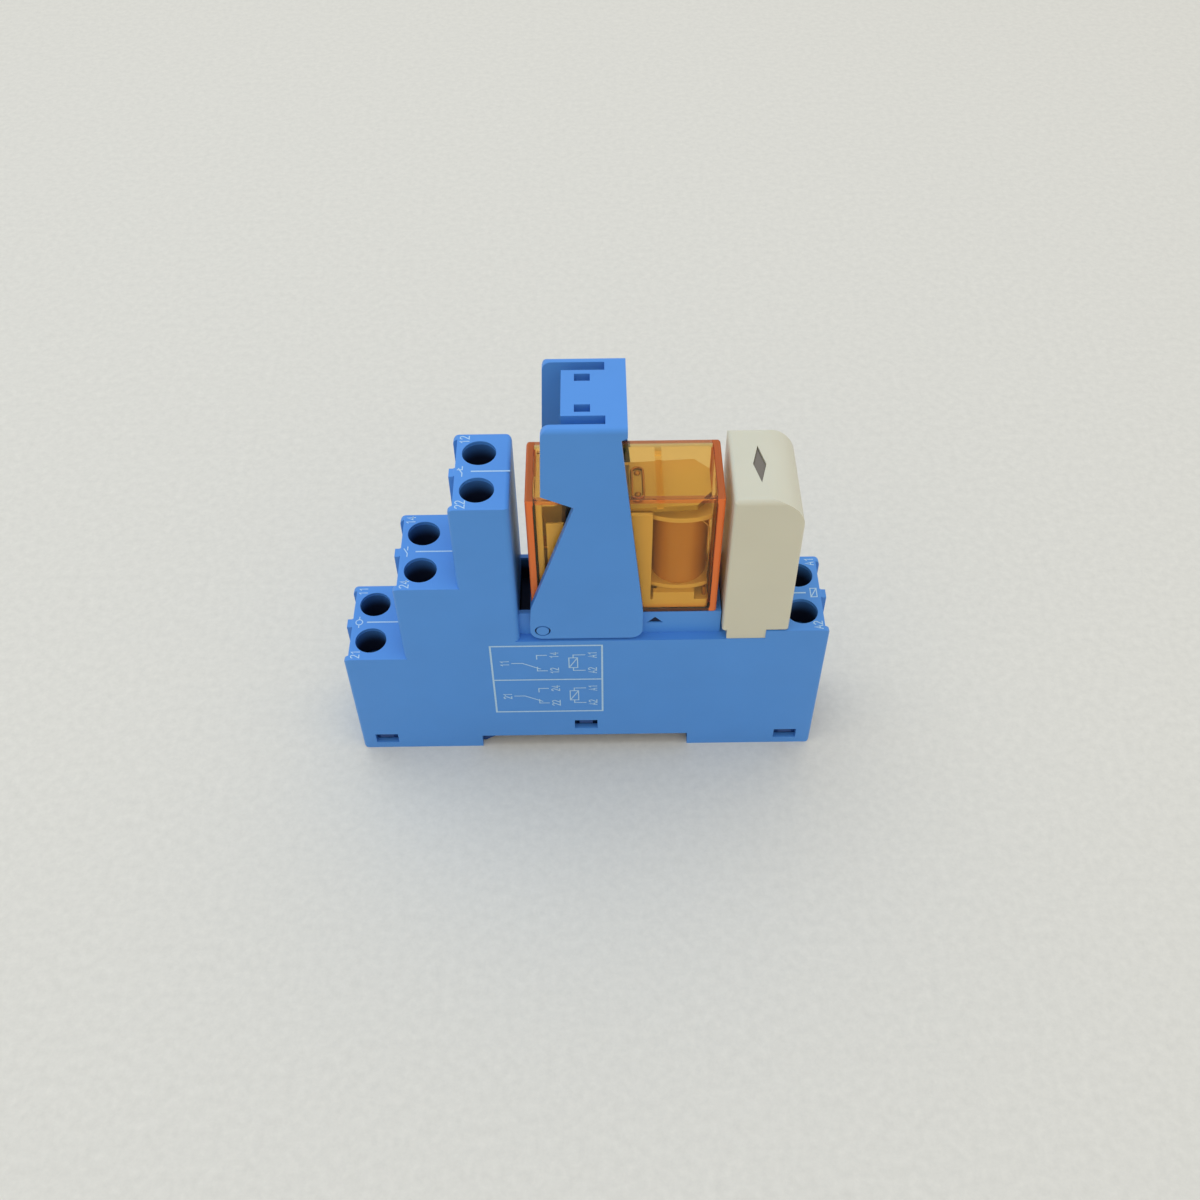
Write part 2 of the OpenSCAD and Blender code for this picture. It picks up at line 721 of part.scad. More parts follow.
// A fixed contact: pin, strip, shelf towards the blade and a contact rivet; way is the blade's side
module fixed_contact(pole, x, face, way) {
    back = face - way * rivet_h;
    side = SIDES[pole - 1];
    color(COPPER_ALLOY) {
        side_block(side, [x - pin_t / 2, x + pin_t / 2], [pole_y - pin_w / 2, pole_y + pin_w / 2],
            [pin_tip_z, base_top + 0.5]);
        across(strip_w, side * pole_y) {
            translate([x - strip_t / 2, base_top]) square([strip_t, shelf_z - base_top]);
            translate([min(x - strip_t / 2, back - strip_t), shelf_z])
                square([abs(back - x) + strip_t * (way > 0 ? 0.5 : 1.5), strip_t]);
            translate([way > 0 ? back - strip_t : back, shelf_z]) square([strip_t, strip_top - shelf_z]);
        }
        translate([min(back, face), side * pole_y, contact_z]) rotate([0, 90, 0])
            cylinder(r = rivet_r, h = rivet_h);
    }
}

module make_contact(pole) {
    fixed_contact(pole, PIN_X[1], blade_x - blade_t / 2 - rivet_h - contact_gap, 1);
}

module break_contact(pole) {
    fixed_contact(pole, PIN_X[0], blade_x + blade_t / 2 + rivet_h + play, -1);
}

root_z = 38.3;
root_r = 0.4;

module common_pin(pole) {
    color(COPPER_ALLOY) side_block(SIDES[pole - 1], [blade_x - pin_t / 2, blade_x + pin_t / 2],
        [pole_y - pin_w / 2, pole_y + pin_w / 2], [pin_tip_z, root_z - root_r - play]);
}

// Springy blade with a rivet that shows on both faces, rolled at its root
module common_blade(pole) {
    side = SIDES[pole - 1];
    rivet_l = blade_t + 2 * rivet_h;
    color(COPPER_ALLOY) {
        side_block(side, [blade_x - blade_t / 2, blade_x + blade_t / 2],
            [pole_y - strip_w / 2, pole_y + strip_w / 2], [root_z, strip_top]);
        cross_rod(root_r, blade_x, root_z, side * pole_y - strip_w / 2, side * pole_y + strip_w / 2);
        translate([blade_x - rivet_l / 2, side * pole_y, contact_z]) rotate([0, 90, 0])
            cylinder(r = rivet_r, h = rivet_l);
    }
}

module coil_pin(pole) {
    color(COPPER_ALLOY) side_block(SIDES[pole - 1], [PIN_X[coil] - pin_t / 2, PIN_X[coil] + pin_t / 2],
        [pole_y - pin_w / 2, pole_y + pin_w / 2], [pin_tip_z, coil_low - flange_t]);
}

// Indicator module
module_end = module_x + module_l;
module_low = 31.4;
module_wall = 1;
lens_x = 26.1;
lens_l = 7.7;
lens_w = 1.95;
edge_round = 0.9;
heel_round = 0.6;
upright_round = 0.5;
lid_top = 33;
board_x = module_pin_x + pin_t / 2;
board_t = 1.2;

// Side view of the module, drawn in by inset all round
module module_outline(inset) {
    low = module_low - 5;
    difference() {
        translate([module_x + inset, low]) square([module_l - 2 * inset, module_z - inset - low]);
        corner_sliver([module_end - inset, module_z - inset], shoulder_r - inset, [-1, -1]);
        corner_sliver([module_x + inset, module_z - inset], heel_round - inset / 2, [1, -1]);
    }
}

module lens_outline(grow) {
    polygon([[lens_x - lens_w / 2 - grow, 0], [lens_x, -lens_l / 2 - grow],
        [lens_x + lens_w / 2 + grow, 0], [lens_x, lens_l / 2 + grow]]);
}

module module_housing() {
    tab_x = [22.7, 28.9];
    half = module_w / 2;
    inner = half - module_wall;
    color(CREAM) difference() {
        intersection() {
            across(module_w) module_outline(0);
            rotate([90, 0, 90]) linear_extrude(module_end + 1) difference() {
                translate([-half, 0]) square([module_w, module_z]);
                for (s = SIDES) corner_sliver([s * half, module_z], edge_round, [-s, -1]);
            }
            linear_extrude(module_z + 1) difference() {
                translate([module_x, -half]) square([module_l, module_w]);
                for (e = [[module_x, 1], [module_end, -1]], s = SIDES)
                    corner_sliver([e[0], s * half], upright_round, [e[1], -s]);
            }
            union() {
                block([module_x - 1, -half, module_low], [module_end + 1, half, module_z + 1]);
                block([tab_x[0], -half, ledge_z], [tab_x[1], half, module_low + 1]);
            }
        }
        across(2 * inner) module_outline(module_wall);
        translate([0, 0, module_z - module_wall - 1]) linear_extrude(module_wall + 2) lens_outline(0);
    }
}

// Plate that closes the module from below and carries its pins
module module_base() {
    fit = 0.05;
    inner = module_w / 2 - module_wall - fit;
    color(CREAM) difference() {
        block([module_x + module_wall + fit, -inner, module_low + 0.1],
            [module_end - module_wall - fit, inner, lid_top]);
        for (side = SIDES)
            side_block(side, [board_x - pin_t, board_x], [pole_y - pin_w / 2, pole_y + pin_w / 2],
                [module_low - 1, lid_top + 1]);
    }
}

module module_lens() {
    fit = 0.03;
    depth = 1.2;
    sunk = 0.35;
    color("#5a5048") translate([0, 0, module_z - depth]) linear_extrude(depth - sunk) lens_outline(-fit);
}

module module_board() {
    half = 6.2;
    top = 52;
    color("#3f6b4a") block([board_x, -half, lid_top], [board_x + board_t, half, top]);
}

module module_pin(pole) {
    top = 36;
    color(COPPER_ALLOY) side_block(SIDES[pole - 1], [board_x - pin_t, board_x],
        [pole_y - pin_w / 2, pole_y + pin_w / 2], [module_pin_tip, top]);
}

// Lamp under the lens, with its two legs bent back to the board
module module_led() {
    lamp_r = 1.45;
    low = 52.6;
    height = 3;
    leg = 0.5;
    leg_y = 1.1;
    foot_z = 50;
    lamp_x = lens_x - 0.3;
    color("#d8e4d0") translate([lamp_x, 0, 0]) {
        translate([0, 0, low]) cylinder(r = lamp_r, h = height);
        translate([0, 0, low + height]) intersection() {
            sphere(lamp_r);
            block([-lamp_r, -lamp_r, -skin], [lamp_r, lamp_r, lamp_r]);
        }
        for (side = SIDES) {
            side_block(side, [-leg / 2, leg / 2], [leg_y - leg, leg_y], [foot_z, low + 0.5]);
            side_block(side, [-leg / 2, board_x - lamp_x], [leg_y - leg, leg_y], [foot_z, foot_z + leg]);
        }
    }
}

// A wired part lying along the board, with its leads bent into it
module axial_part(r, l, y, z) {
    lead = 0.5;
    x = board_x - r - 0.2;
    translate([x, y, z]) {
        cylinder(r = r, h = l);
        for (e = [-1.5, l + 1]) {
            block([-lead / 2, -lead / 2, min(e, l - 0.1)], [lead / 2, lead / 2, max(e + lead, 0.1)]);
            block([-lead / 2, -lead / 2, e], [board_x - x, lead / 2, e + lead]);
        }
    }
}

module module_diode() {
    color("#2f2f33") axial_part(1.1, 5, -3.4, 40);
}

module module_resistor() {
    color("#c9b48a") axial_part(0.9, 6, 3.4, 39.5);
}

socket_housing();
base_plate();
rail_latch();
latch_spring();
for (t = TIERS, s = [0, 1]) {
    terminal_screw(t, SIDES[s]);
    clamp_cage(t, SIDES[s]);
    contact_bar(t, SIDES[s]);
}
retaining_clip();
relay_cover();
relay_base();
coil_bobbin();
coil_winding();
coil_core();
yoke();
armature();
contact_card();
for (p = [1, 2]) {
    make_contact(p);
    common_pin(p);
    common_blade(p);
    break_contact(p);
    coil_pin(p);
    module_pin(p);
}
module_housing();
module_base();
module_lens();
module_board();
module_led();
module_diode();
module_resistor();
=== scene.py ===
"""Finishes, print and stage for a plug-in relay on a rail socket, laid out as an add-on and run as a script."""

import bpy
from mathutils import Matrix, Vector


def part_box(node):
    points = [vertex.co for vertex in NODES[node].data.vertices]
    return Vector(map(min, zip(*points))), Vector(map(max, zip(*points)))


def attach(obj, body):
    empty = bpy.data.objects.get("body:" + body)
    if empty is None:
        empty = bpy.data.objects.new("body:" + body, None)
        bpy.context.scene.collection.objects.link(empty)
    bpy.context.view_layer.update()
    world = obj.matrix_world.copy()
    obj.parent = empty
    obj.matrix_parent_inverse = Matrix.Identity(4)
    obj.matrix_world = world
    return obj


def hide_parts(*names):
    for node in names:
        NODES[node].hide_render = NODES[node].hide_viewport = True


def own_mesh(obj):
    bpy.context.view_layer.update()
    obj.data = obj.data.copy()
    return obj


bl_info = {
    "name": "Plug-in relay with socket",
    "version": (1, 0, 0),
    "blender": (4, 5, 0),
    "location": "View3D > Sidebar > Relay",
    "description": "Gives a relay, its rail socket and its indicator module their finishes and print",
    "category": "Object",
}

import math

import bpy
import numpy as np
from bpy.props import FloatProperty, FloatVectorProperty, PointerProperty
from mathutils import Matrix, Vector

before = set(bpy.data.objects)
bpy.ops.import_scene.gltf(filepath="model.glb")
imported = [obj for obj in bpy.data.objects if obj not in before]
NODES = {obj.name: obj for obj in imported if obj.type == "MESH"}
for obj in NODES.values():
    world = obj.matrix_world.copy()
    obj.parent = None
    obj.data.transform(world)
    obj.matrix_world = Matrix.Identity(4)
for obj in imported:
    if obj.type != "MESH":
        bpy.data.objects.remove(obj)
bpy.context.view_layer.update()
MM = 0.001
TIERS = (("22", "12"), ("24", "14"), ("21", "11"), ("a2", "a1"))  # near and far terminal of each tier
TAGS = [tag for pair in TIERS for tag in pair]
POLES = (1, 2)
SHARP = math.radians(35)  # an edge that turns by more than this is sharp
HEAD_DEPTH = 5.7 * MM  # from the top of a tier down to its screws' heads


# Settings that a user can change

def linear(colour):
    """Linear red, green and blue of an sRGB hex colour, by the sRGB transfer curve."""
    value = np.array([int(colour[i:i + 2], 16) for i in (1, 3, 5)]) / 255
    return tuple(np.where(value <= 0.04045, value / 12.92, ((value + 0.055) / 1.055) ** 2.4))


def colour_prop(name, description, colour):
    """A colour a user can pick, with an sRGB hex default."""
    return FloatVectorProperty(name=name, description=description, subtype="COLOR", size=3, min=0, max=1,
                               default=linear(colour))


def length_prop(name, description, size_mm):
    """A length a user can set, stored in metres with a default in millimetres."""
    return FloatProperty(name=name, description=description, subtype="DISTANCE", unit="LENGTH", min=0,
                         precision=5, default=size_mm * MM)


def angle_prop(name, description, degrees):
    """An angle a user can set, stored in radians with a default in degrees."""
    return FloatProperty(name=name, description=description, subtype="ANGLE", default=math.radians(degrees))


class RelayColours(bpy.types.PropertyGroup):
    """Colours of the plastics and of the print, with the painted shade and the painted edge glow among them"""
    socket_blue: colour_prop("Socket blue", "Moulded polyamide of the socket and its clip", "#5291DA")
    # Partly painted shade: the base plate and the latch are a darker blue than the socket, and this blue is darkened
    # further so that the plate's tabs look shaded in the housing's snap windows
    foot_blue_and_shade: colour_prop("Foot blue", "Darker polyamide of the base plate and the rail latch", "#24457E")
    # Painted shade: the colour at the deepest point of the wells, of the gap beside the relay and of the dark marks,
    # standing in for the shade there
    painted_well_shade: colour_prop("Well black", "Darkest part of the wells and of the gap beside the relay", "#1C243C")
    print_white: colour_prop("Print white", "Pad-printed lines and numbers", "#B9DCF6")
    amber: colour_prop("Amber", "Colour the clear cover takes over a long path", "#FDE04A")
    # Painted glow: the orange painted on the cover's edge bands, standing in for the light a real wall carries out at
    # its edges
    painted_edge_glow: colour_prop("Amber edge", "Light gathered at the cover's edges", "#FF8440")
    inner_yellow: colour_prop("Inner yellow", "Relay base, bobbin and contact card", "#FFE8B4")
    winding_brown: colour_prop("Winding brown", "Enamelled wire of the coil", "#DDA56A")
    module_cream: colour_prop("Module cream", "Housing of the indicator module", "#D2CDB6")
    lens_smoke: colour_prop("Lens smoke", "Smoked lens on the module", "#6A6053")
    floor: colour_prop("Floor", "Pale floor under the relay", "#DFDACE")


class RelaySizes(bpy.types.PropertyGroup):
    """Sizes of the print, the softened edges and the coil's wire"""
    line: length_prop("Line", "Width of a printed line on a tier", 0.26)
    frame_line: length_prop("Frame line", "Width of the diagram's frame", 0.3)
    stroke: length_prop("Stroke", "Width of a number's stroke", 0.17)
    digit: length_prop("Digit", "Height of a printed number", 1.35)
    ink: length_prop("Ink", "Thickness of the print", 0.02)
    housing_edge: length_prop("Housing edge", "Softened edge of the blue mouldings", 0.14)
    fine_edge: length_prop("Fine edge", "Softened edge of small pieces", 0.08)
    wire: length_prop("Wire", "Diameter of the coil's wire as drawn", 0.22)


class RelayStage(bpy.types.PropertyGroup):
    """Camera and light"""
    lens: FloatProperty(name="Lens", description="Focal length on a 36 mm sensor", unit="CAMERA", default=39.78)
    eye: FloatVectorProperty(name="Eye", description="Place of the camera", subtype="TRANSLATION", unit="LENGTH",
                             size=3, precision=5, default=(0.002228, -0.139467, 0.195076))
    yaw: angle_prop("Yaw", "Camera's turn to the right", 0.166)
    pitch: angle_prop("Pitch", "Camera's angle below the horizon", 49.8)
    roll: angle_prop("Roll", "Camera's turn about its own axis", 0.62)
    sky: FloatProperty(name="Sky", description="Strength of the even light from all round", default=0.83)
    key: FloatProperty(name="Key", description="Power of the large soft lamp above and behind", unit="POWER",
                       default=1.6)


def colours():
    """The colours in use."""
    return bpy.context.scene.relay_colours


def sizes():
    """The sizes in use."""
    return bpy.context.scene.relay_sizes


# Finishes

def add(tree, kind, inputs=None, **settings):
    """Adds a node: settings are its attributes, and each input is a value to set or a socket to link from."""
    made = tree.nodes.new(kind)
    for name, value in settings.items():
        setattr(made, name, value)
    for name, value in (inputs or {}).items():
        if isinstance(value, bpy.types.NodeSocket):
            tree.links.new(value, made.inputs[name])
        else:
            made.inputs[name].default_value = value
    return made


def rgba(colour, factor=1.0):
    """A colour scaled by factor, with full alpha."""
    return tuple(min(1.0, c * factor) for c in colour) + (1.0,)


def new_material(name):
    """An empty material, its node tree and its output node."""
    material = bpy.data.materials.new(name)
    material.use_nodes = True
    tree = material.node_tree
    tree.nodes.clear()
    return material, tree, add(tree, "ShaderNodeOutputMaterial")


def moulded(name, colour, roughness=0.42, grain_mm=0.35, relief_mm=0.012, cloud_mm=14.0, coat=0.0, shine=0.5,
            subsurface=0.0):
    """A spark-eroded plastic moulding: slow clouds of tone from the melt's flow, and a fine leathery grain that
    breaks the gloss. The grain is drawn at about three times its real size so that it shows."""
    material, tree, output = new_material(name)
    place = add(tree, "ShaderNodeTexCoord")
    cloud = add(tree, "ShaderNodeTexNoise", {"Vector": place.outputs["Object"], "Scale": 1 / (cloud_mm * MM),
                                            "Detail": 3.0, "Roughness": 0.55})
    tone = add(tree, "ShaderNodeMix", {"Factor": cloud.outputs["Fac"], "A": rgba(colour, 0.93),
                                       "B": rgba(colour, 1.07)}, data_type="RGBA")
    grain = add(tree, "ShaderNodeTexNoise", {"Vector": place.outputs["Object"], "Scale": 1 / (grain_mm * MM),
                                            "Detail": 4.0, "Roughness": 0.6})
    gloss = add(tree, "ShaderNodeMapRange", {"Value": grain.outputs["Fac"], "From Min": 0.3, "From Max": 0.7,
                                             "To Min": roughness - 0.06, "To Max": roughness + 0.06})
    relief = add(tree, "ShaderNodeBump", {"Height": grain.outputs["Fac"], "Strength": 0.35,
                                          "Distance": relief_mm * MM})
    shader = add(tree, "ShaderNodeBsdfPrincipled", {
        "Base Color": tone.outputs["Result"], "Roughness": gloss.outputs["Result"], "IOR": 1.53,
        "Specular IOR Level": shine, "Normal": relief.outputs["Normal"], "Coat Weight": coat,
        "Subsurface Weight": subsurface, "Subsurface Radius": (0.0012, 0.0009, 0.0006), "Subsurface Scale": 1.0})
    tree.links.new(shader.outputs["BSDF"], output.inputs["Surface"])
    return material


def plated(name, colour, roughness):
    """A plated or rolled metal: fine drawing lines up the strip, with gloss that varies from line to line."""
    brush, stretch = 0.12 * MM, 12.0
    material, tree, output = new_material(name)
    place = add(tree, "ShaderNodeTexCoord")
    along = add(tree, "ShaderNodeMapping", {"Vector": place.outputs["Object"], "Scale": (1.0, 1.0, 1 / stretch)})
    lines = add(tree, "ShaderNodeTexNoise", {"Vector": along.outputs["Vector"], "Scale": 1 / brush,
                                            "Detail": 3.0, "Roughness": 0.6})
    tone = add(tree, "ShaderNodeMix", {"Factor": lines.outputs["Fac"], "A": rgba(colour, 0.85),
                                       "B": rgba(colour, 1.1)}, data_type="RGBA")
    gloss = add(tree, "ShaderNodeMapRange", {"Value": lines.outputs["Fac"], "From Min": 0.3, "From Max": 0.7,
                                             "To Min": roughness - 0.08, "To Max": roughness + 0.1})
    shader = add(tree, "ShaderNodeBsdfPrincipled", {
        "Base Color": tone.outputs["Result"], "Roughness": gloss.outputs["Result"], "Metallic": 1.0})
    tree.links.new(shader.outputs["BSDF"], output.inputs["Surface"])
    return material


def clear_amber():
    """Tinted polycarbonate: clear walls with the faint waviness of a moulded window, whose colour deepens where light
    runs along them. A band along each edge, where two of the box's faces are near, is made less clear and painted
    orange: a painted glow that stands in for the light a real wall carries out at its edges, with painted shade
    making it darker on the roof. The index is below the plastic's own 1.58, so that the works stay as bright behind
    the two faces of a wall as they are in a real one."""
    low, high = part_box("relay_cover")
    centre, half = (low + high) / 2, (high - low) / 2
    wall = (0.85 * MM, 0.7 * MM, 0.7 * MM)
    band = (1.25 * MM, 1.1 * MM, 1.1 * MM)
    # Weights of the painted edge glow on each kind of edge
    edge_share = (1.0, 0.225, 1.0)  # upright edges, long edges along x, short edges along y
    roof_shade_share = 0.55
    pale = (1.0, 0.93, 0.78, 1.0)
    material, tree, output = new_material("clear_amber_polycarbonate")
    place = add(tree, "ShaderNodeTexCoord")
    wave = add(tree, "ShaderNodeTexNoise", {"Vector": place.outputs["Object"], "Scale": 1 / (5 * MM),
                                           "Detail": 1.0})
    relief = add(tree, "ShaderNodeBump", {"Height": wave.outputs["Fac"], "Strength": 0.25,
                                          "Distance": 0.03 * MM})
    # Nearness to the box's faces on each axis, 1 within the wall and 0 past the band
    centred = add(tree, "ShaderNodeMapping", {"Vector": place.outputs["Object"], "Location": -centre})
    apart = add(tree, "ShaderNodeVectorMath", {0: centred.outputs["Vector"]}, operation="ABSOLUTE")
    depth = add(tree, "ShaderNodeVectorMath", {0: half, 1: apart.outputs["Vector"]}, operation="SUBTRACT")
    near = add(tree, "ShaderNodeMapRange", {"Vector": depth.outputs["Vector"], "From Min": wall,
                                            "From Max": band, "To Min": (1, 1, 1), "To Max": (0, 0, 0)},
               data_type="FLOAT_VECTOR")
    # The sum of xy, yz and zx is high where two faces are near, which is along an edge
    parts = add(tree, "ShaderNodeSeparateXYZ", {"Vector": near.outputs["Vector"]})
    turned = add(tree, "ShaderNodeCombineXYZ", {"X": parts.outputs["Y"], "Y": parts.outputs["Z"],
                                                "Z": parts.outputs["X"]})
    eased = add(tree, "ShaderNodeVectorMath", {0: turned.outputs["Vector"], 1: edge_share},
                operation="MULTIPLY")
    pair = add(tree, "ShaderNodeVectorMath", {0: near.outputs["Vector"], 1: eased.outputs["Vector"]},
               operation="DOT_PRODUCT")
    edge = add(tree, "ShaderNodeMapRange", {"Value": pair.outputs["Value"], "From Min": 0.12, "From Max": 0.6,
                                            "To Min": 0.0, "To Max": 1.0}, interpolation_type="SMOOTHSTEP")
    rim = add(tree, "ShaderNodeMapRange", {"Value": edge.outputs["Result"], "From Min": 0.0, "From Max": 0.15,
                                           "To Min": 0.0, "To Max": 1.0})
    # Painted shade: seen on the roof, the painted glow is darker than on the sides
    facing = add(tree, "ShaderNodeSeparateXYZ", {"Vector": place.outputs["Normal"]})
    glow = add(tree, "ShaderNodeMix", {"Factor": facing.outputs["Z"], "A": rgba(colours().painted_edge_glow),
                                       "B": rgba(colours().painted_edge_glow, roof_shade_share)}, data_type="RGBA")
    tint = add(tree, "ShaderNodeMix", {"Factor": rim.outputs["Result"], "A": pale,
                                       "B": glow.outputs["Result"]}, data_type="RGBA")
    # The bands of painted glow are made less clear, so that their orange shows
    clear = add(tree, "ShaderNodeMapRange", {"Value": edge.outputs["Result"], "From Min": 0.0, "From Max": 1.0,
                                             "To Min": 1.0, "To Max": 0.2})
    shader = add(tree, "ShaderNodeBsdfPrincipled", {
        "Base Color": tint.outputs["Result"], "Roughness": 0.05, "IOR": 1.2,
        "Coat Weight": 0.3, "Coat Roughness": 0.04,
        "Transmission Weight": clear.outputs["Result"], "Specular Tint": (1.0, 0.72, 0.3, 1.0),
        "Normal": relief.outputs["Normal"]})
    absorb = add(tree, "ShaderNodeVolumeAbsorption", {"Color": rgba(colours().amber), "Density": 760.0})
    tree.links.new(shader.outputs["BSDF"], output.inputs["Surface"])
    tree.links.new(absorb.outputs["Volume"], output.inputs["Volume"])
    return material


def enamelled_wire():
    """Close turns of enamelled wire: level rings in relief, with each turn's crown painted lighter and its groove
    darker, a painted highlight and painted shade that follow the relief. A band wave repeats every tenth of pi at
    scale 1, so the scale is set to give one band for each turn."""
    material, tree, output = new_material("enamelled_copper_wire")
    place = add(tree, "ShaderNodeTexCoord")
    turns = add(tree, "ShaderNodeTexWave", {"Vector": place.outputs["Object"],
                                           "Scale": math.pi / (10 * sizes().wire), "Distortion": 0.4,
                                           "Detail": 1.0}, wave_type="BANDS", bands_direction="Z")
    # Painted highlight and shade: the colour is lighter where the relief is high and darker where it is low
    tone = add(tree, "ShaderNodeMix", {"Factor": turns.outputs["Fac"],
                                       "A": rgba(colours().winding_brown, 0.78),
                                       "B": rgba(colours().winding_brown, 1.12)}, data_type="RGBA")
    relief = add(tree, "ShaderNodeBump", {"Height": turns.outputs["Fac"], "Strength": 0.2,
                                          "Distance": sizes().wire / 4})
    shader = add(tree, "ShaderNodeBsdfPrincipled", {
        "Base Color": tone.outputs["Result"], "Roughness": 0.3, "Normal": relief.outputs["Normal"],
        "Coat Weight": 0.5, "Coat Roughness": 0.12})
    tree.links.new(shader.outputs["BSDF"], output.inputs["Surface"])
    return material


def printed_ink():
    """Pad-printed ink: a thin matt film whose cover wanders a little. It is made once, for all the print."""
    name = "pad_printed_ink"
    if name in bpy.data.materials:
        return bpy.data.materials[name]
    material, tree, output = new_material(name)
    place = add(tree, "ShaderNodeTexCoord")
    cover = add(tree, "ShaderNodeTexNoise", {"Vector": place.outputs["Object"], "Scale": 1 / (0.25 * MM),
                                            "Detail": 3.0})
    tone = add(tree, "ShaderNodeMix", {"Factor": cover.outputs["Fac"], "A": rgba(colours().print_white, 0.72),
                                       "B": rgba(colours().print_white)}, data_type="RGBA")
    shader = add(tree, "ShaderNodeBsdfPrincipled", {"Base Color": tone.outputs["Result"], "Roughness": 0.6})
    tree.links.new(shader.outputs["BSDF"], output.inputs["Surface"])
    return material


def shaded_lining():
    """The same blue moulding deep in a well, where little light reaches: its colour is painted shade, which darkens
    from the lip to the floor."""
    material, tree, output = new_material("dusty_blue_polyamide")
    deep = add(tree, "ShaderNodeAttribute", attribute_name="depth")
    place = add(tree, "ShaderNodeTexCoord")
    dust = add(tree, "ShaderNodeTexNoise", {"Vector": place.outputs["Object"], "Scale": 1 / (0.6 * MM)})
    fade = add(tree, "ShaderNodeMapRange", {"Value": deep.outputs["Fac"], "From Min": 0.0, "From Max": 0.55},
               interpolation_type="SMOOTHSTEP")
    # Painted shade: socket blue darkened at the lip, fading into the well's painted shade colour further down
    tone = add(tree, "ShaderNodeMix", {"Factor": fade.outputs["Result"], "A": rgba(colours().socket_blue, 0.55),
                                       "B": rgba(colours().painted_well_shade)}, data_type="RGBA")
    gloss = add(tree, "ShaderNodeMapRange", {"Value": dust.outputs["Fac"], "To Min": 0.5, "To Max": 0.8})
    shader = add(tree, "ShaderNodeBsdfPrincipled", {"Base Color": tone.outputs["Result"], "IOR": 1.53,
                                                    "Roughness": gloss.outputs["Result"],
                                                    "Specular IOR Level": 0.2})
    tree.links.new(shader.outputs["BSDF"], output.inputs["Surface"])
    return material


def pale_floor():
    """A sheet of pale foam: matt, with a fine mottle from its cells."""
    material, tree, output = new_material("polyethylene_foam")
    place = add(tree, "ShaderNodeTexCoord")
    cells = add(tree, "ShaderNodeTexNoise", {"Vector": place.outputs["Object"], "Scale": 1 / (1.6 * MM),
                                            "Detail": 4.0, "Roughness": 0.7})
    tone = add(tree, "ShaderNodeMix", {"Factor": cells.outputs["Fac"], "A": rgba(colours().floor, 0.88),
                                       "B": rgba(colours().floor, 1.12)}, data_type="RGBA")
    shader = add(tree, "ShaderNodeBsdfPrincipled", {"Base Color": tone.outputs["Result"], "Roughness": 0.8,
                                                    "Specular IOR Level": 0.2})
    tree.links.new(shader.outputs["BSDF"], output.inputs["Surface"])
    return material


def wear(material, *names):
    """Puts a material on CAD nodes."""
    for name in names:
        mesh = NODES[name].data
        mesh.materials.clear()
        mesh.materials.append(material)


def soften(width, *names):
    """Softens the sharp edges of CAD nodes: welds the loose triangles, dissolves flat facets and rounds each sharp
    edge."""
    for name in names:
        node = NODES[name]
        weld = node.modifiers.new("weld", "WELD")
        weld.merge_threshold = 1e-6
        flat = node.modifiers.new("flat_faces", "DECIMATE")
        flat.decimate_type = "DISSOLVE"
        flat.angle_limit = math.radians(0.5)
        edge = node.modifiers.new("soft_edge", "BEVEL")
        edge.width = width
        edge.segments = 2
        edge.limit_method = "ANGLE"
        edge.angle_limit = SHARP
        even = node.modifiers.new("even_shade", "WEIGHTED_NORMAL")
        even.weight = 90


# Paths and outlines on a plane

def line(*points):
    """A path of straight steps."""
    return np.array(points, float)


def arc(centre, radius, start, end, count=10):
    """Points along a circle's arc, angles in degrees."""
    turn = np.radians(np.linspace(start, end, count))
    return np.stack([centre[0] + radius * np.cos(turn), centre[1] + radius * np.sin(turn)], axis=1)


def circle(centre, radius, count):
    """Points of a whole circle, run anticlockwise, with none at both ends."""
    return arc(centre, radius, 0, 360, count + 1)[:-1]


def rounded_box(low, high, radius):
    """Outline of a box between two corners with round corners, run anticlockwise."""
    (x0, y0), (x1, y1) = np.add(low, radius), np.subtract(high, radius)
    corners = ((x1, y0), -90), ((x1, y1), 0), ((x0, y1), 90), ((x0, y0), 180)
    return np.concatenate([arc(centre, radius, start, start + 90) for centre, start in corners])


def box_sides(low, high):
    """The four sides of an upright box between two corners, each a line of its own."""
    (x0, z0), (x1, z1) = low, high
    return [line((x0, z0), (x1, z0)), line((x1, z0), (x1, z1)), line((x1, z1), (x0, z1)), line((x0, z1), (x0, z0))]


def ribbon(path, width):
    """Right and left edges of a flat ribbon along a path: each point moves along the mitre of its two normals, and
    the ends run on by half a width."""
    least_turn = 0.4  # keeps the mitre of a sharp turn short
    step = np.diff(path, axis=0)
    step = step / np.linalg.norm(step, axis=1, keepdims=True)
    run = path.copy()
    run[0] -= step[0] * width / 2
    run[-1] += step[-1] * width / 2
    normal = np.stack([-step[:, 1], step[:, 0]], axis=1)
    before = np.concatenate([normal[:1], normal])
    after = np.concatenate([normal, normal[-1:]])
    turn = 1 + np.sum(before * after, axis=1, keepdims=True)
    mitre = (before + after) / turn.clip(least_turn)
    return run - mitre * width / 2, run + mitre * width / 2


def smooth(path, per_step=6):
    """The Hermite curve through a path's points, with half their neighbours' difference as its slope."""
    path = np.array(path, float)
    at = np.linspace(0, len(path) - 1, (len(path) - 1) * per_step + 1)
    step = np.gradient(path, axis=0)
    i = np.minimum(at.astype(int), len(path) - 2)
    u = (at - i)[:, None]
    return ((2 * u**3 - 3 * u**2 + 1) * path[i] + (u**3 - 2 * u**2 + u) * step[i]
            + (3 * u**2 - 2 * u**3) * path[i + 1] + (u**3 - u**2) * step[i + 1])


# Places for a plane in the part: each maps plane points and a height above the plane to the part's frame

def level_face(z):
    """Places plane points (x, y) on a level face at height z."""
    return lambda p, h: np.column_stack([p, np.full(len(p), z + h)])


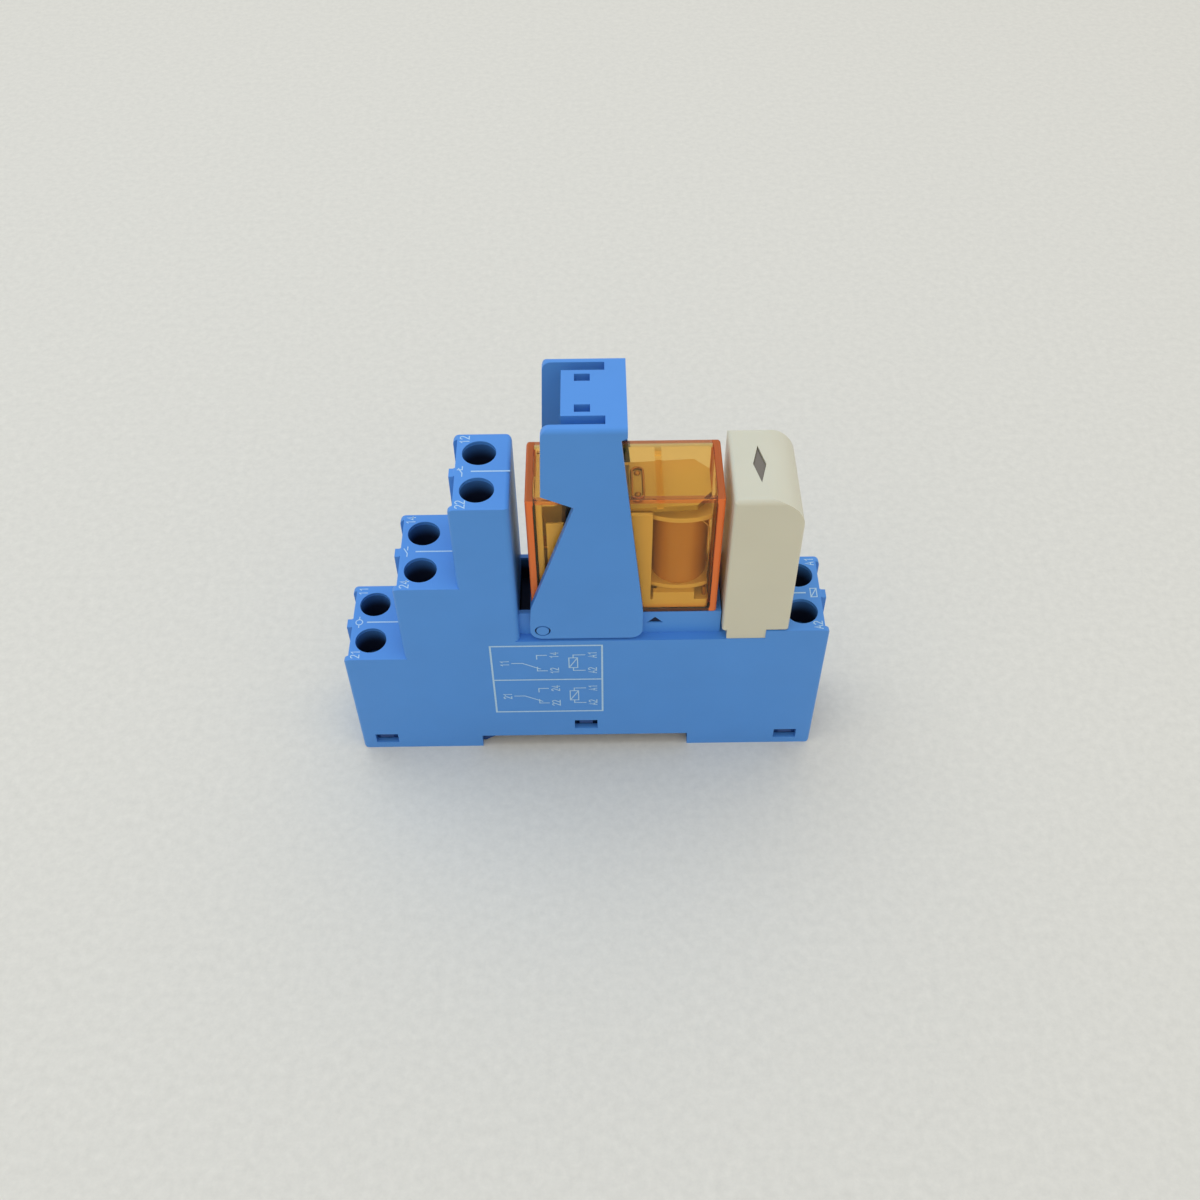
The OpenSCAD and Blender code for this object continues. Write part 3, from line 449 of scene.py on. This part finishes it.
def side_face(side, y):
    """Places plane points on an upright face at a distance y from the middle, as seen from outside: (x, z) on the
    near side, where side is -1, and (-x, z) on the far side."""
    return lambda p, h: np.column_stack([-side * p[:, 0], np.full(len(p), side * (y + h)), p[:, 1]])


def armature_top():
    """Places plane points (x, y) on the armature's plate, which rests open by a few degrees about its hinge."""
    hinge_x, hinge_z, thick = 9.95 * MM, 55.55 * MM, 0.85 * MM
    slope = math.tan(math.radians(3.3))
    return lambda p, h: np.column_stack([p, hinge_z + thick + h + slope * (p[:, 0] - hinge_x)])


# Surfaces, each as an array of points and a list of faces

def ring_quads(rows, columns, closed_rows=False):
    """Quads of a grid whose columns close on themselves, and its rows too where asked."""
    r = np.arange(rows if closed_rows else rows - 1)[:, None]
    c = np.arange(columns)[None, :]
    after = (r + 1) % rows
    beside = (c + 1) % columns
    corners = np.broadcast_arrays(r * columns + c, r * columns + beside, after * columns + beside,
                                  after * columns + c)
    return np.stack(corners, axis=-1).reshape(-1, 4)


def stacked(rows):
    """Points and faces of a pile of equal outlines, each run anticlockwise as seen from the last one: quads between
    neighbours and a flat cap at either end."""
    rows = np.asarray(rows)
    count, n = rows.shape[:2]
    first = np.arange(n)[::-1]
    last = (count - 1) * n + np.arange(n)
    return rows.reshape(-1, 3), [*ring_quads(count, n), first, last]


def joined(shapes):
    """Several shapes as one: their points together, and their faces counted on."""
    base = np.cumsum([0] + [len(points) for points, _ in shapes])
    return (np.concatenate([points for points, _ in shapes]),
            [np.asarray(face) + start for start, (_, faces) in zip(base, shapes) for face in faces])


def strip(path, width, place, low, high):
    """A flat strip: a rectangle carried along a plane path, square to it, between two heights above a face."""
    right, left = ribbon(path, width)
    corners = place(right, low), place(left, low), place(left, high), place(right, high)
    return stacked(np.stack(corners, axis=1))


def plate(outline, place, low, high):
    """A flat plate: an outline, run anticlockwise, at two heights above a face."""
    return stacked([place(outline, low), place(outline, high)])


def tube(curve, radius, closed=False, around=12):
    """A round wire: a circle carried square to a curve, which closes on itself or is capped flat at both ends."""
    aside = (0.31, 0.83, 0.46)  # no wire here runs this way
    ahead = np.roll(curve, -1, axis=0) - np.roll(curve, 1, axis=0) if closed else np.gradient(curve, axis=0)
    ahead /= np.linalg.norm(ahead, axis=1, keepdims=True)
    side = np.cross(ahead, aside)
    side /= np.linalg.norm(side, axis=1, keepdims=True)
    up = np.cross(ahead, side)
    turn = np.linspace(0, 2 * math.pi, around, endpoint=False)
    ring = np.cos(turn)[:, None] * side[:, None] + np.sin(turn)[:, None] * up[:, None]
    rows = curve[:, None] + radius * ring
    if closed:
        return rows.reshape(-1, 3), ring_quads(len(curve), around, closed_rows=True)
    return stacked(rows)


def dome(centre, radius, height, place, around=24):
    """A rivet's head: circles that shrink by the cosine and rise by the sine of an angle, nearly up to a pole that a
    small flat closes."""
    rise = np.radians(np.linspace(0, 82, 7))
    return stacked([place(circle(centre, radius * math.cos(a), around), height * math.sin(a)) for a in rise])


def washer(centre, radii, place, low, high, around=40):
    """A flat ring: the rectangle between two radii and two heights, turned about a centre."""
    corners = ((radii[0], low), (radii[1], low), (radii[1], high), (radii[0], high))
    points = [place(circle(centre, r, around), h) for r, h in corners]
    return np.concatenate(points), ring_quads(len(corners), around, closed_rows=True)


def well_wall(outline, heights, wall, steps=9):
    """A thin sheet that carries painted shade down a well, with the depth of each of its points: a level outline, run
    anticlockwise, is carried down through the heights, then back up further out by the wall's thickness, and closed
    at the top and the bottom. The depth goes from 0 at the lip to 1 at the floor, and the painted shade darkens with
    it."""
    ahead = np.roll(outline, -1, axis=0) - np.roll(outline, 1, axis=0)
    out = np.stack([ahead[:, 1], -ahead[:, 0]], axis=1)
    outer = outline + wall * out / np.linalg.norm(out, axis=1, keepdims=True)
    z = np.linspace(*heights, steps)
    levels = np.concatenate([z, z[::-1]])
    rows = [outline] * steps + [outer] * steps
    points = np.concatenate([level_face(level)(row, 0) for row, level in zip(rows, levels)])
    depth = (heights[0] - points[:, 2]) / (heights[0] - heights[1])
    return points, ring_quads(len(levels), len(outline), closed_rows=True), depth


def mesh_piece(name, points, faces, material, body, slot, depth=None):
    """A mesh object at the origin from arrays of points and faces, riding on a body, with a material. slot is not
    used. depth is a value for each point that a material can read."""
    mesh = bpy.data.meshes.new(name)
    mesh.from_pydata(points.tolist(), [], [list(face) for face in faces])
    mesh.materials.append(material)
    mesh.shade_smooth()
    mesh.set_sharp_from_angle(angle=SHARP)
    if depth is not None:
        mesh.attributes.new("depth", "FLOAT", "POINT").data.foreach_set("value", depth)
    made = bpy.data.objects.new(name, mesh)
    bpy.context.scene.collection.objects.link(made)
    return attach(made, body)


# Print

# Strokes of the characters on a unit-high body, as a plotter would draw them
GLYPHS = {
    "1": [line((0.12, 0.78), (0.34, 1.0), (0.34, 0.0))],
    "2": [np.concatenate([arc((0.27, 0.74), 0.26, 165, -35), line((0.02, 0.0), (0.55, 0.0))])],
    "4": [line((0.55, 0.28), (0.0, 0.28), (0.4, 1.0), (0.4, 0.0))],
    "a": [line((0.0, 0.0), (0.28, 1.0), (0.56, 0.0)), line((0.1, 0.33), (0.46, 0.33))],
}
GLYPH_WIDE = 0.55
ADVANCE = 0.78  # from one character to the next
NARROW = 0.82  # the whole number is drawn this much narrower
READ_UPWARDS = np.array([[0, 1], [-1, 0]])


def number(text, centre, height):
    """Strokes of a number centred on a point, which reads upwards with its top to the left."""
    width = ADVANCE * (len(text) - 1) + GLYPH_WIDE
    flat = [(stroke + (i * ADVANCE - width / 2, -0.5)) * (NARROW, 1)
            for i, letter in enumerate(text) for stroke in GLYPHS[letter]]
    return [stroke * height @ READ_UPWARDS + centre for stroke in flat]


def contact_sign(level):
    """Plain wiring signs about 2 mm across, in the tiers' order: a closed contact, an open one, a common point and
    a coil."""
    blade = line((0, -1.0), (0, -0.35), (-0.55, 0.6))
    closed = [blade, line((-0.7, 0.35), (0, 0.35), (0, 1.0))]
    opened = [blade, line((0, 0.35), (0, 1.0))]
    common = [arc((0, 0), 0.55, 0, 180), arc((0, 0), 0.55, 180, 360), line((0, 0.55), (0, 1.1)),
              line((0, -0.55), (0, -1.1))]
    coil = [*box_sides((-0.5, -0.9), (0.5, 0.9)), line((-0.5, -0.9), (0.5, 0.9))]
    return [stroke * MM for stroke in (closed, opened, common, coil)[level]]


def changeover_cell(numbers, tall):
    """Strokes of one cell of the wiring diagram, from its lower left corner in millimetres: a changeover contact
    between three numbers, then a coil box with a diagonal between its two."""
    mid, low, high = tall / 2, 0.27 * tall, 0.73 * tall
    start, blade, fixed, end = 3.3, 5.0, 7.4, 9.0
    coil_low, coil_high = (12.6, mid - 1.3), (14.0, mid + 1.3)
    lead, lead_end = (coil_low[0] + coil_high[0]) / 2, 15.2
    common_x, contact_x, coil_x, digit = 2.1, 10.2, 16.4, 1.3
    common, rest, work = numbers
    signs = [
        line((start, mid), (blade, mid), (fixed + 0.5, low + 0.5)),
        line((end, low), (fixed, low), (fixed, low + 1.0)), line((end, high), (fixed, high), (fixed, high - 1.0)),
        *box_sides(coil_low, coil_high), line(coil_low, coil_high),
        line((lead, coil_high[1]), (lead, high), (lead_end, high)),
        line((lead, coil_low[1]), (lead, low), (lead_end, low)),
    ]
    texts = ((common, common_x, mid), (work, contact_x, high), (rest, contact_x, low), ("a1", coil_x, high),
             ("a2", coil_x, low))
    for text, x, z in texts:
        signs += number(text, (x, z), digit)
    return [sign * MM for sign in signs]


def ink_piece(name, strokes, place):
    """A printed film: every stroke, a (path, width) pair in metres, is a thin strip on a face. Strokes that cross
    differ a little in height."""
    film = sizes().ink
    shape = joined([strip(path, width, place, film / 4, film * (0.8 + i % 5 / 20))
                    for i, (path, width) in enumerate(strokes)])
    mesh_piece(name, *shape, printed_ink(), "socket", "module_cream")


# Steps

class RELAY_OT_finish_socket(bpy.types.Operator):
    """Gives the socket, its foot and its latch their moulded blue"""
    bl_idname = "relay.finish_socket"
    bl_label = "Finish the socket"

    def execute(self, context):
        wear(moulded("blue_polyamide", colours().socket_blue, shine=0.25), "socket_housing", "retaining_clip")
        # A darker blue, darkened further as painted shade for the tabs seen in the snap windows
        wear(moulded("dark_blue_polyamide", colours().foot_blue_and_shade, shine=0.25), "base_plate", "rail_latch")
        soften(sizes().housing_edge, "socket_housing", "retaining_clip")
        soften(sizes().fine_edge, "base_plate", "rail_latch")
        return {"FINISHED"}


class RELAY_OT_finish_terminals(bpy.types.Operator):
    """Gives the screws, clamps and contact bars their plating"""
    bl_idname = "relay.finish_terminals"
    bl_label = "Finish the terminals"

    def execute(self, context):
        screws = [f"terminal_screw_{tag}" for tag in TAGS]
        zinc = plated("zinc_plated_steel", linear("#8E9299"), 0.38)
        wear(zinc, *screws, *[f"clamp_cage_{tag}" for tag in TAGS])
        wear(plated("tinned_copper_alloy", linear("#C8A56A"), 0.3), *[f"contact_bar_{tag}" for tag in TAGS])
        soften(sizes().fine_edge, *screws)
        return {"FINISHED"}


class RELAY_OT_finish_relay(bpy.types.Operator):
    """Gives the clear cover and the works inside it their finishes"""
    bl_idname = "relay.finish_relay"
    bl_label = "Finish the relay"

    def execute(self, context):
        wear(clear_amber(), "relay_cover")
        wear(moulded("yellow_polyester", colours().inner_yellow, 0.4), "relay_base", "coil_bobbin", "contact_card")
        wear(enamelled_wire(), "coil_winding")
        wear(plated("nickel_plated_iron", linear("#D6C288"), 0.55), "coil_core", "yoke", "armature")
        contacts = [f"{kind}_{pole}" for kind in ("make_contact", "break_contact", "common_pin", "common_blade",
                                                  "coil_pin") for pole in POLES]
        wear(plated("contact_bronze", linear("#B98A4C"), 0.4), *contacts)
        soften(sizes().fine_edge, "relay_base", "coil_bobbin", "armature", "yoke")
        return {"FINISHED"}


class RELAY_OT_finish_module(bpy.types.Operator):
    """Gives the indicator module and its small parts their finishes"""
    bl_idname = "relay.finish_module"
    bl_label = "Finish the indicator module"

    def execute(self, context):
        wear(moulded("cream_polycarbonate", colours().module_cream, 0.4, cloud_mm=20, subsurface=0.12),
             "module_housing", "module_base")
        wear(moulded("smoked_acrylic", colours().lens_smoke, 0.12, grain_mm=1.2, relief_mm=0.03, coat=0.6),
             "module_lens")
        wear(moulded("coated_laminate", linear("#3F6B4A"), 0.35), "module_board")
        wear(moulded("clear_resin", linear("#D8E4D0"), 0.1), "module_led")
        wear(moulded("black_epoxy", linear("#2F2F33"), 0.45), "module_diode")
        wear(moulded("resistor_lacquer", linear("#C9B48A"), 0.4), "module_resistor")
        wear(plated("tinned_pin", linear("#BFB49A"), 0.3), "module_pin_1", "module_pin_2")
        soften(sizes().fine_edge, "module_lens")
        return {"FINISHED"}


class RELAY_OT_print_tiers(bpy.types.Operator):
    """Prints each tier's numbers, its contact sign and the line between its holes"""
    bl_idname = "relay.print_tiers"
    bl_label = "Print the tiers"

    def execute(self, context):
        size = sizes()
        number_y, number_out, line_out = 6.75 * MM, 2.3 * MM, 0.9 * MM
        line_in = (4.6 * MM, 5.6 * MM, 5.6 * MM, 4.6 * MM)
        for level, tags in enumerate(TIERS):
            low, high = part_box(f"terminal_screw_{tags[0]}")
            hole_x = (low.x + high.x) / 2
            out = 1 if tags[0] == "a2" else -1
            number_x = hole_x + out * number_out
            strokes = []
            for tag, y in zip(tags, (-number_y, number_y)):
                strokes += [(s, size.stroke) for s in number(tag, (number_x, y), size.digit)]
            strokes.append((line((hole_x + out * line_out, 0), (hole_x - out * line_in[level], 0)), size.line))
            strokes += [(s + (number_x, 0), size.stroke) for s in contact_sign(level)]
            ink_piece(f"print_tier_{tags[1]}", strokes, level_face(high.z + HEAD_DEPTH))
        return {"FINISHED"}


class RELAY_OT_print_diagram(bpy.types.Operator):
    """Prints the framed wiring diagram on the near side"""
    bl_idname = "relay.print_diagram"
    bl_label = "Print the wiring diagram"

    def execute(self, context):
        size = sizes()
        low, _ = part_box("socket_housing")
        wide, tall = 18.0, 8.98
        corner = np.array((-15.15, 10.2))
        x0, z0 = corner * MM
        x1, z1 = (corner + (wide, 2 * tall)) * MM
        mid = (z0 + z1) / 2
        strokes = [(side, size.frame_line) for side in box_sides((x0, z0), (x1, z1))]
        strokes.append((line((x0, mid), (x1, mid)), size.line))
        for numbers, base in ((("21", "22", "24"), z0), (("11", "12", "14"), mid)):
            strokes += [(sign + (x0, base), size.stroke) for sign in changeover_cell(numbers, tall)]
        ink_piece("print_diagram", strokes, side_face(-1, -low.y))
        return {"FINISHED"}


class RELAY_OT_line_wells(bpy.types.Operator):
    """Lines each screwdriver hole and the gap beside the relay with thin sheets of painted shade that darken towards
    the floor, and lays sheets of painted shade on the gap's floor, in the triangle mark's recess and in the grooves
    round the clip's pivot pins
    """
    bl_idname = "relay.line_wells"
    bl_label = "Line the screw wells"

    def execute(self, context):
        shade = shaded_lining()
        radius, lip, wall = 2.5 * MM, 0.6 * MM, 0.04 * MM
        # Painted shade down each screwdriver hole, from just below the lip to the screw's head
        for tag in TAGS:
            low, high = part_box(f"terminal_screw_{tag}")
            hole = circle(((low + high) / 2).xy, radius, 48)
            points, faces, depth = well_wall(hole, (high.z + HEAD_DEPTH - lip, high.z), wall)
            mesh_piece(f"well_shade_sheet_{tag}", points, faces, shade, "socket", "shade_blue", depth)
        # Painted shade in the narrow gap between the tall tier and the relay: a sheet down its walls and one on its
        # floor
        gap = line((-10.2, -5.45), (-8.45, -5.45), (-8.45, 5.45), (-10.2, 5.45)) * MM
        gap_top, gap_foot, gap_floor, gap_film = 33.9 * MM, 29.55 * MM, 29.5 * MM, (0.01 * MM, 0.04 * MM)
        points, faces, depth = well_wall(gap, (gap_top, gap_foot), wall)
        mesh_piece("gap_shade_sheet", points, faces, shade, "socket", "shade_blue", depth)
        self.shade_sheet("gap_floor", plate(gap, level_face(gap_floor), *gap_film), shade, "socket")
        # Painted shade in the recess of the triangle mark
        mark = line((10.05, 31.82), (12.55, 31.82), (11.3, 33.17)) * MM
        mark_y, mark_fill = 5.7 * MM, (0.02 * MM, 0.35 * MM)
        self.shade_sheet("mark_shade_sheet", plate(mark, side_face(-1, mark_y), *mark_fill), shade, "socket")
        # Painted shade in the groove round each end of the clip's pivot pin
        pivot_x, pivot_z, ring_y = 6.5 * MM, 31.7 * MM, 7.3 * MM
        ring_radii, ring_fill = (1.09 * MM, 1.24 * MM), (0.02 * MM, 0.2 * MM)
        for side, name in ((-1, "near"), (1, "far")):
            ring = washer((side * pivot_x, pivot_z), ring_radii, side_face(side, ring_y), *ring_fill)
            self.shade_sheet(f"pivot_ring_{name}", ring, shade, "clip")
        return {"FINISHED"}

    def shade_sheet(self, name, shape, material, body):
        """A sheet of painted shade, as dark all over as the floor of a well."""
        points, faces = shape
        mesh_piece(name, points, faces, material, body, "shade_blue", np.ones(len(points)))


class RELAY_OT_bend_spring(bpy.types.Operator):
    """Bends the latch's spring from a strip in place of the part's own spring"""
    bl_idname = "relay.bend_spring"
    bl_label = "Bend the latch spring"

    def execute(self, context):
        low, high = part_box("latch_spring")
        thick, legs = 0.35 * MM, 10
        first, last = low.x + thick / 2, high.x - thick / 2
        end = low.y + thick / 2
        bend = (last - first) / (legs - 1) / 2
        bends = [arc((first + (2 * i + 1) * bend, side * (-end - bend)), bend, 180, 180 - 180 * side)
                 for i, side in enumerate((1, -1) * (legs // 2 - 1) + (1,))]
        path = np.concatenate([[(first, end)], *bends, [(last, end)]])
        steel = plated("spring_steel", linear("#9A9DA2"), 0.35)
        made = mesh_piece("latch_spring_strip", *strip(path, thick, level_face(low.z), 0, high.z - low.z), steel,
                          "socket", "spring_steel")
        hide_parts("latch_spring")
        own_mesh(made)
        return {"FINISHED"}


class RELAY_OT_fit_works(bpy.types.Operator):
    """Fits the wall and the bridge between the two poles, and the spring loop and its rivets on the armature"""
    bl_idname = "relay.fit_works"
    bl_label = "Fit the relay's small works"

    def execute(self, context):
        yellow = bpy.data.materials["yellow_polyester"]
        wall = line((-6.9, 36.65), (-2.2, 36.65), (-2.2, 43.5), (-3.0, 45.5), (-3.0, 56.0), (-4.4, 57.6),
                    (-6.9, 57.6)) * MM
        wall_thick = 0.9 * MM
        mesh_piece("pole_wall", *plate(wall, side_face(-1, -wall_thick / 2), 0, wall_thick), yellow, "relay",
                   "relay_yellow")
        bridge = rounded_box((-6.65, -4.95), (-3.3, 4.95), 0.7) * MM
        bridge_z, bridge_thick = 57.3 * MM, 0.7 * MM
        mesh_piece("pole_bridge", *plate(bridge, level_face(bridge_z), 0, bridge_thick), yellow, "relay",
                   "relay_yellow")
        bronze = bpy.data.materials["contact_bronze"]
        loop_x, loop_y, loop_bend, wire = 8.35 * MM, 2.4 * MM, 0.85 * MM, 0.2 * MM
        loop = np.concatenate([arc((loop_x, loop_y), loop_bend, 0, 180), arc((loop_x, -loop_y), loop_bend, 180, 360)])
        top = armature_top()
        mesh_piece("spring_loop", *tube(top(loop, wire), wire, closed=True), bronze, "armature", "copper_alloy")
        rivet_y, rivet_radius, rivet_high = 2.2 * MM, 0.5 * MM, 0.3 * MM
        for k, y in enumerate((-rivet_y, rivet_y)):
            mesh_piece(f"spring_rivet_{k + 1}", *dome((loop_x, y), rivet_radius, rivet_high, top), bronze, "armature",
                       "copper_alloy")
        return {"FINISHED"}


class RELAY_OT_lead_coil(bpy.types.Operator):
    """Draws the two wires that lead from the winding to the coil's pins"""
    bl_idname = "relay.lead_coil"
    bl_label = "Lead the coil's wires"

    def execute(self, context):
        wire = plated("tinned_copper_wire", linear("#D8B98A"), 0.3)
        winding_low, winding_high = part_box("coil_winding")
        x, top, foot = winding_high.x, winding_high.z, winding_low.z
        for pole, side in zip(POLES, (-1, 1)):
            low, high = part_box(f"coil_pin_{pole}")
            pin = (low + high) / 2
            y, start_y = side * 3.6 * MM, side * 2.9 * MM
            # Out of the winding near its top, down beside it and in to the head of the pin
            path = [(x - 1.7 * MM, start_y, top - 1.0 * MM),
                    (x - 0.3 * MM, y, top - 2.2 * MM),
                    (x + 0.05 * MM, y, (foot + top) / 2),
                    (x - 0.1 * MM, y, foot + 1.0 * MM),
                    (pin.x, pin.y, high.z - 0.4 * MM)]
            mesh_piece(f"coil_lead_{pole}", *tube(smooth(path), sizes().wire / 2), wire, "relay", "coil_wire")
        return {"FINISHED"}


class RELAY_OT_set_stage(bpy.types.Operator):
    """Sets the floor, the soft light and the camera"""
    bl_idname = "relay.set_stage"
    bl_label = "Set the stage"

    def execute(self, context):
        stage = context.scene.relay_stage
        context.scene.view_settings.view_transform = "Standard"
        self.floor()
        self.sky(stage)
        self.key_lamp(stage)
        self.camera(stage)
        return {"FINISHED"}

    def floor(self):
        """A square sheet that reaches past every view."""
        half = 3.0
        mesh = bpy.data.meshes.new("floor")
        mesh.from_pydata([(-half, -half, 0), (half, -half, 0), (half, half, 0), (-half, half, 0)], [], [(0, 1, 2, 3)])
        mesh.materials.append(pale_floor())
        made = bpy.data.objects.new("floor", mesh)
        bpy.context.scene.collection.objects.link(made)

    def sky(self, stage):
        """Even light from all round, a little warm, in front of a white backdrop that is seen directly, in gloss and
        through the cover."""
        warm, white = (1.0, 0.985, 0.95, 1.0), (1.0, 1.0, 1.0, 1.0)
        world = bpy.data.worlds.new("soft_sky")
        bpy.context.scene.world = world
        world.use_nodes = True
        tree = world.node_tree
        tree.nodes.clear()
        path = add(tree, "ShaderNodeLightPath")
        shown = add(tree, "ShaderNodeMath", {0: path.outputs["Is Camera Ray"], 1: path.outputs["Is Glossy Ray"]},
                    operation="MAXIMUM")
        seen = add(tree, "ShaderNodeMath", {0: shown.outputs[0], 1: path.outputs["Is Transmission Ray"]},
                   operation="MAXIMUM")
        light = add(tree, "ShaderNodeBackground", {"Color": warm, "Strength": stage.sky})
        backdrop = add(tree, "ShaderNodeBackground", {"Color": white, "Strength": 1.0})
        mix = add(tree, "ShaderNodeMixShader", {0: seen.outputs[0], 1: light.outputs[0], 2: backdrop.outputs[0]})
        output = add(tree, "ShaderNodeOutputWorld")
        tree.links.new(mix.outputs[0], output.inputs["Surface"])

    def key_lamp(self, stage):
        """A large soft lamp above and behind, cooler than the sky, so that level faces are lighter and bluer than
        upright ones."""
        aim = Vector((0, 0, 0.03))
        lamp = bpy.data.lights.new("key", "AREA")
        lamp.energy = stage.key
        lamp.color = (0.66, 1.0, 1.5)
        lamp.shape = "DISK"
        lamp.size = 0.7
        made = bpy.data.objects.new("key", lamp)
        made.location = (-0.15, 0.1, 0.85)
        made.rotation_euler = (aim - made.location).to_track_quat("-Z", "Y").to_euler()
        bpy.context.scene.collection.objects.link(made)

    def camera(self, stage):
        """A camera at the eye, turned by yaw and pitch and then rolled about its own axis."""
        data = bpy.data.cameras.new("camera")
        data.lens = stage.lens
        data.sensor_width = 36
        data.clip_start, data.clip_end = 0.005, 20
        made = bpy.data.objects.new("camera", data)
        ahead = Vector((math.sin(stage.yaw) * math.cos(stage.pitch), math.cos(stage.yaw) * math.cos(stage.pitch),
                        -math.sin(stage.pitch)))
        right = Vector((math.cos(stage.yaw), -math.sin(stage.yaw), 0))
        down = ahead.cross(right)
        turned_right = math.cos(stage.roll) * right + math.sin(stage.roll) * down
        turned_down = math.cos(stage.roll) * down - math.sin(stage.roll) * right
        axes = Matrix((turned_right, -turned_down, -ahead)).transposed().to_4x4()
        made.matrix_world = Matrix.Translation(stage.eye) @ axes
        bpy.context.scene.collection.objects.link(made)
        bpy.context.scene.camera = made


class RELAY_PT_panel(bpy.types.Panel):
    """Lists the finishing steps and their settings"""
    bl_idname = "RELAY_PT_panel"
    bl_label = "Relay"
    bl_space_type = "VIEW_3D"
    bl_region_type = "UI"
    bl_category = "Relay"

    def draw(self, context):
        for operator in OPERATORS:
            self.layout.operator(operator.bl_idname)
        for group in GROUPS:
            settings = getattr(context.scene, group)
            for name in settings.bl_rna.properties.keys():
                if name not in ("rna_type", "name"):
                    self.layout.prop(settings, name)


GROUPS = {"relay_colours": RelayColours, "relay_sizes": RelaySizes, "relay_stage": RelayStage}
OPERATORS = (
    RELAY_OT_finish_socket, RELAY_OT_finish_terminals, RELAY_OT_finish_relay, RELAY_OT_finish_module,
    RELAY_OT_print_tiers, RELAY_OT_print_diagram, RELAY_OT_line_wells, RELAY_OT_bend_spring, RELAY_OT_fit_works,
    RELAY_OT_lead_coil, RELAY_OT_set_stage,
)
CLASSES = (*GROUPS.values(), *OPERATORS, RELAY_PT_panel)


def register():
    """Registers the classes and gives every scene the settings."""
    for kind in CLASSES:
        bpy.utils.register_class(kind)
    for name, group in GROUPS.items():
        setattr(bpy.types.Scene, name, PointerProperty(type=group))


def unregister():
    """Takes the settings and the classes away again."""
    for name in GROUPS:
        delattr(bpy.types.Scene, name)
    for kind in reversed(CLASSES):
        bpy.utils.unregister_class(kind)


def main():
    """Registers the add-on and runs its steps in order."""
    register()
    bpy.ops.relay.finish_socket()
    bpy.ops.relay.finish_terminals()
    bpy.ops.relay.finish_relay()
    bpy.ops.relay.finish_module()
    bpy.ops.relay.print_tiers()
    bpy.ops.relay.print_diagram()
    bpy.ops.relay.line_wells()
    bpy.ops.relay.bend_spring()
    bpy.ops.relay.fit_works()
    bpy.ops.relay.lead_coil()
    bpy.ops.relay.set_stage()
    bpy.context.view_layer.update()


if __name__ == "__main__":
    main()
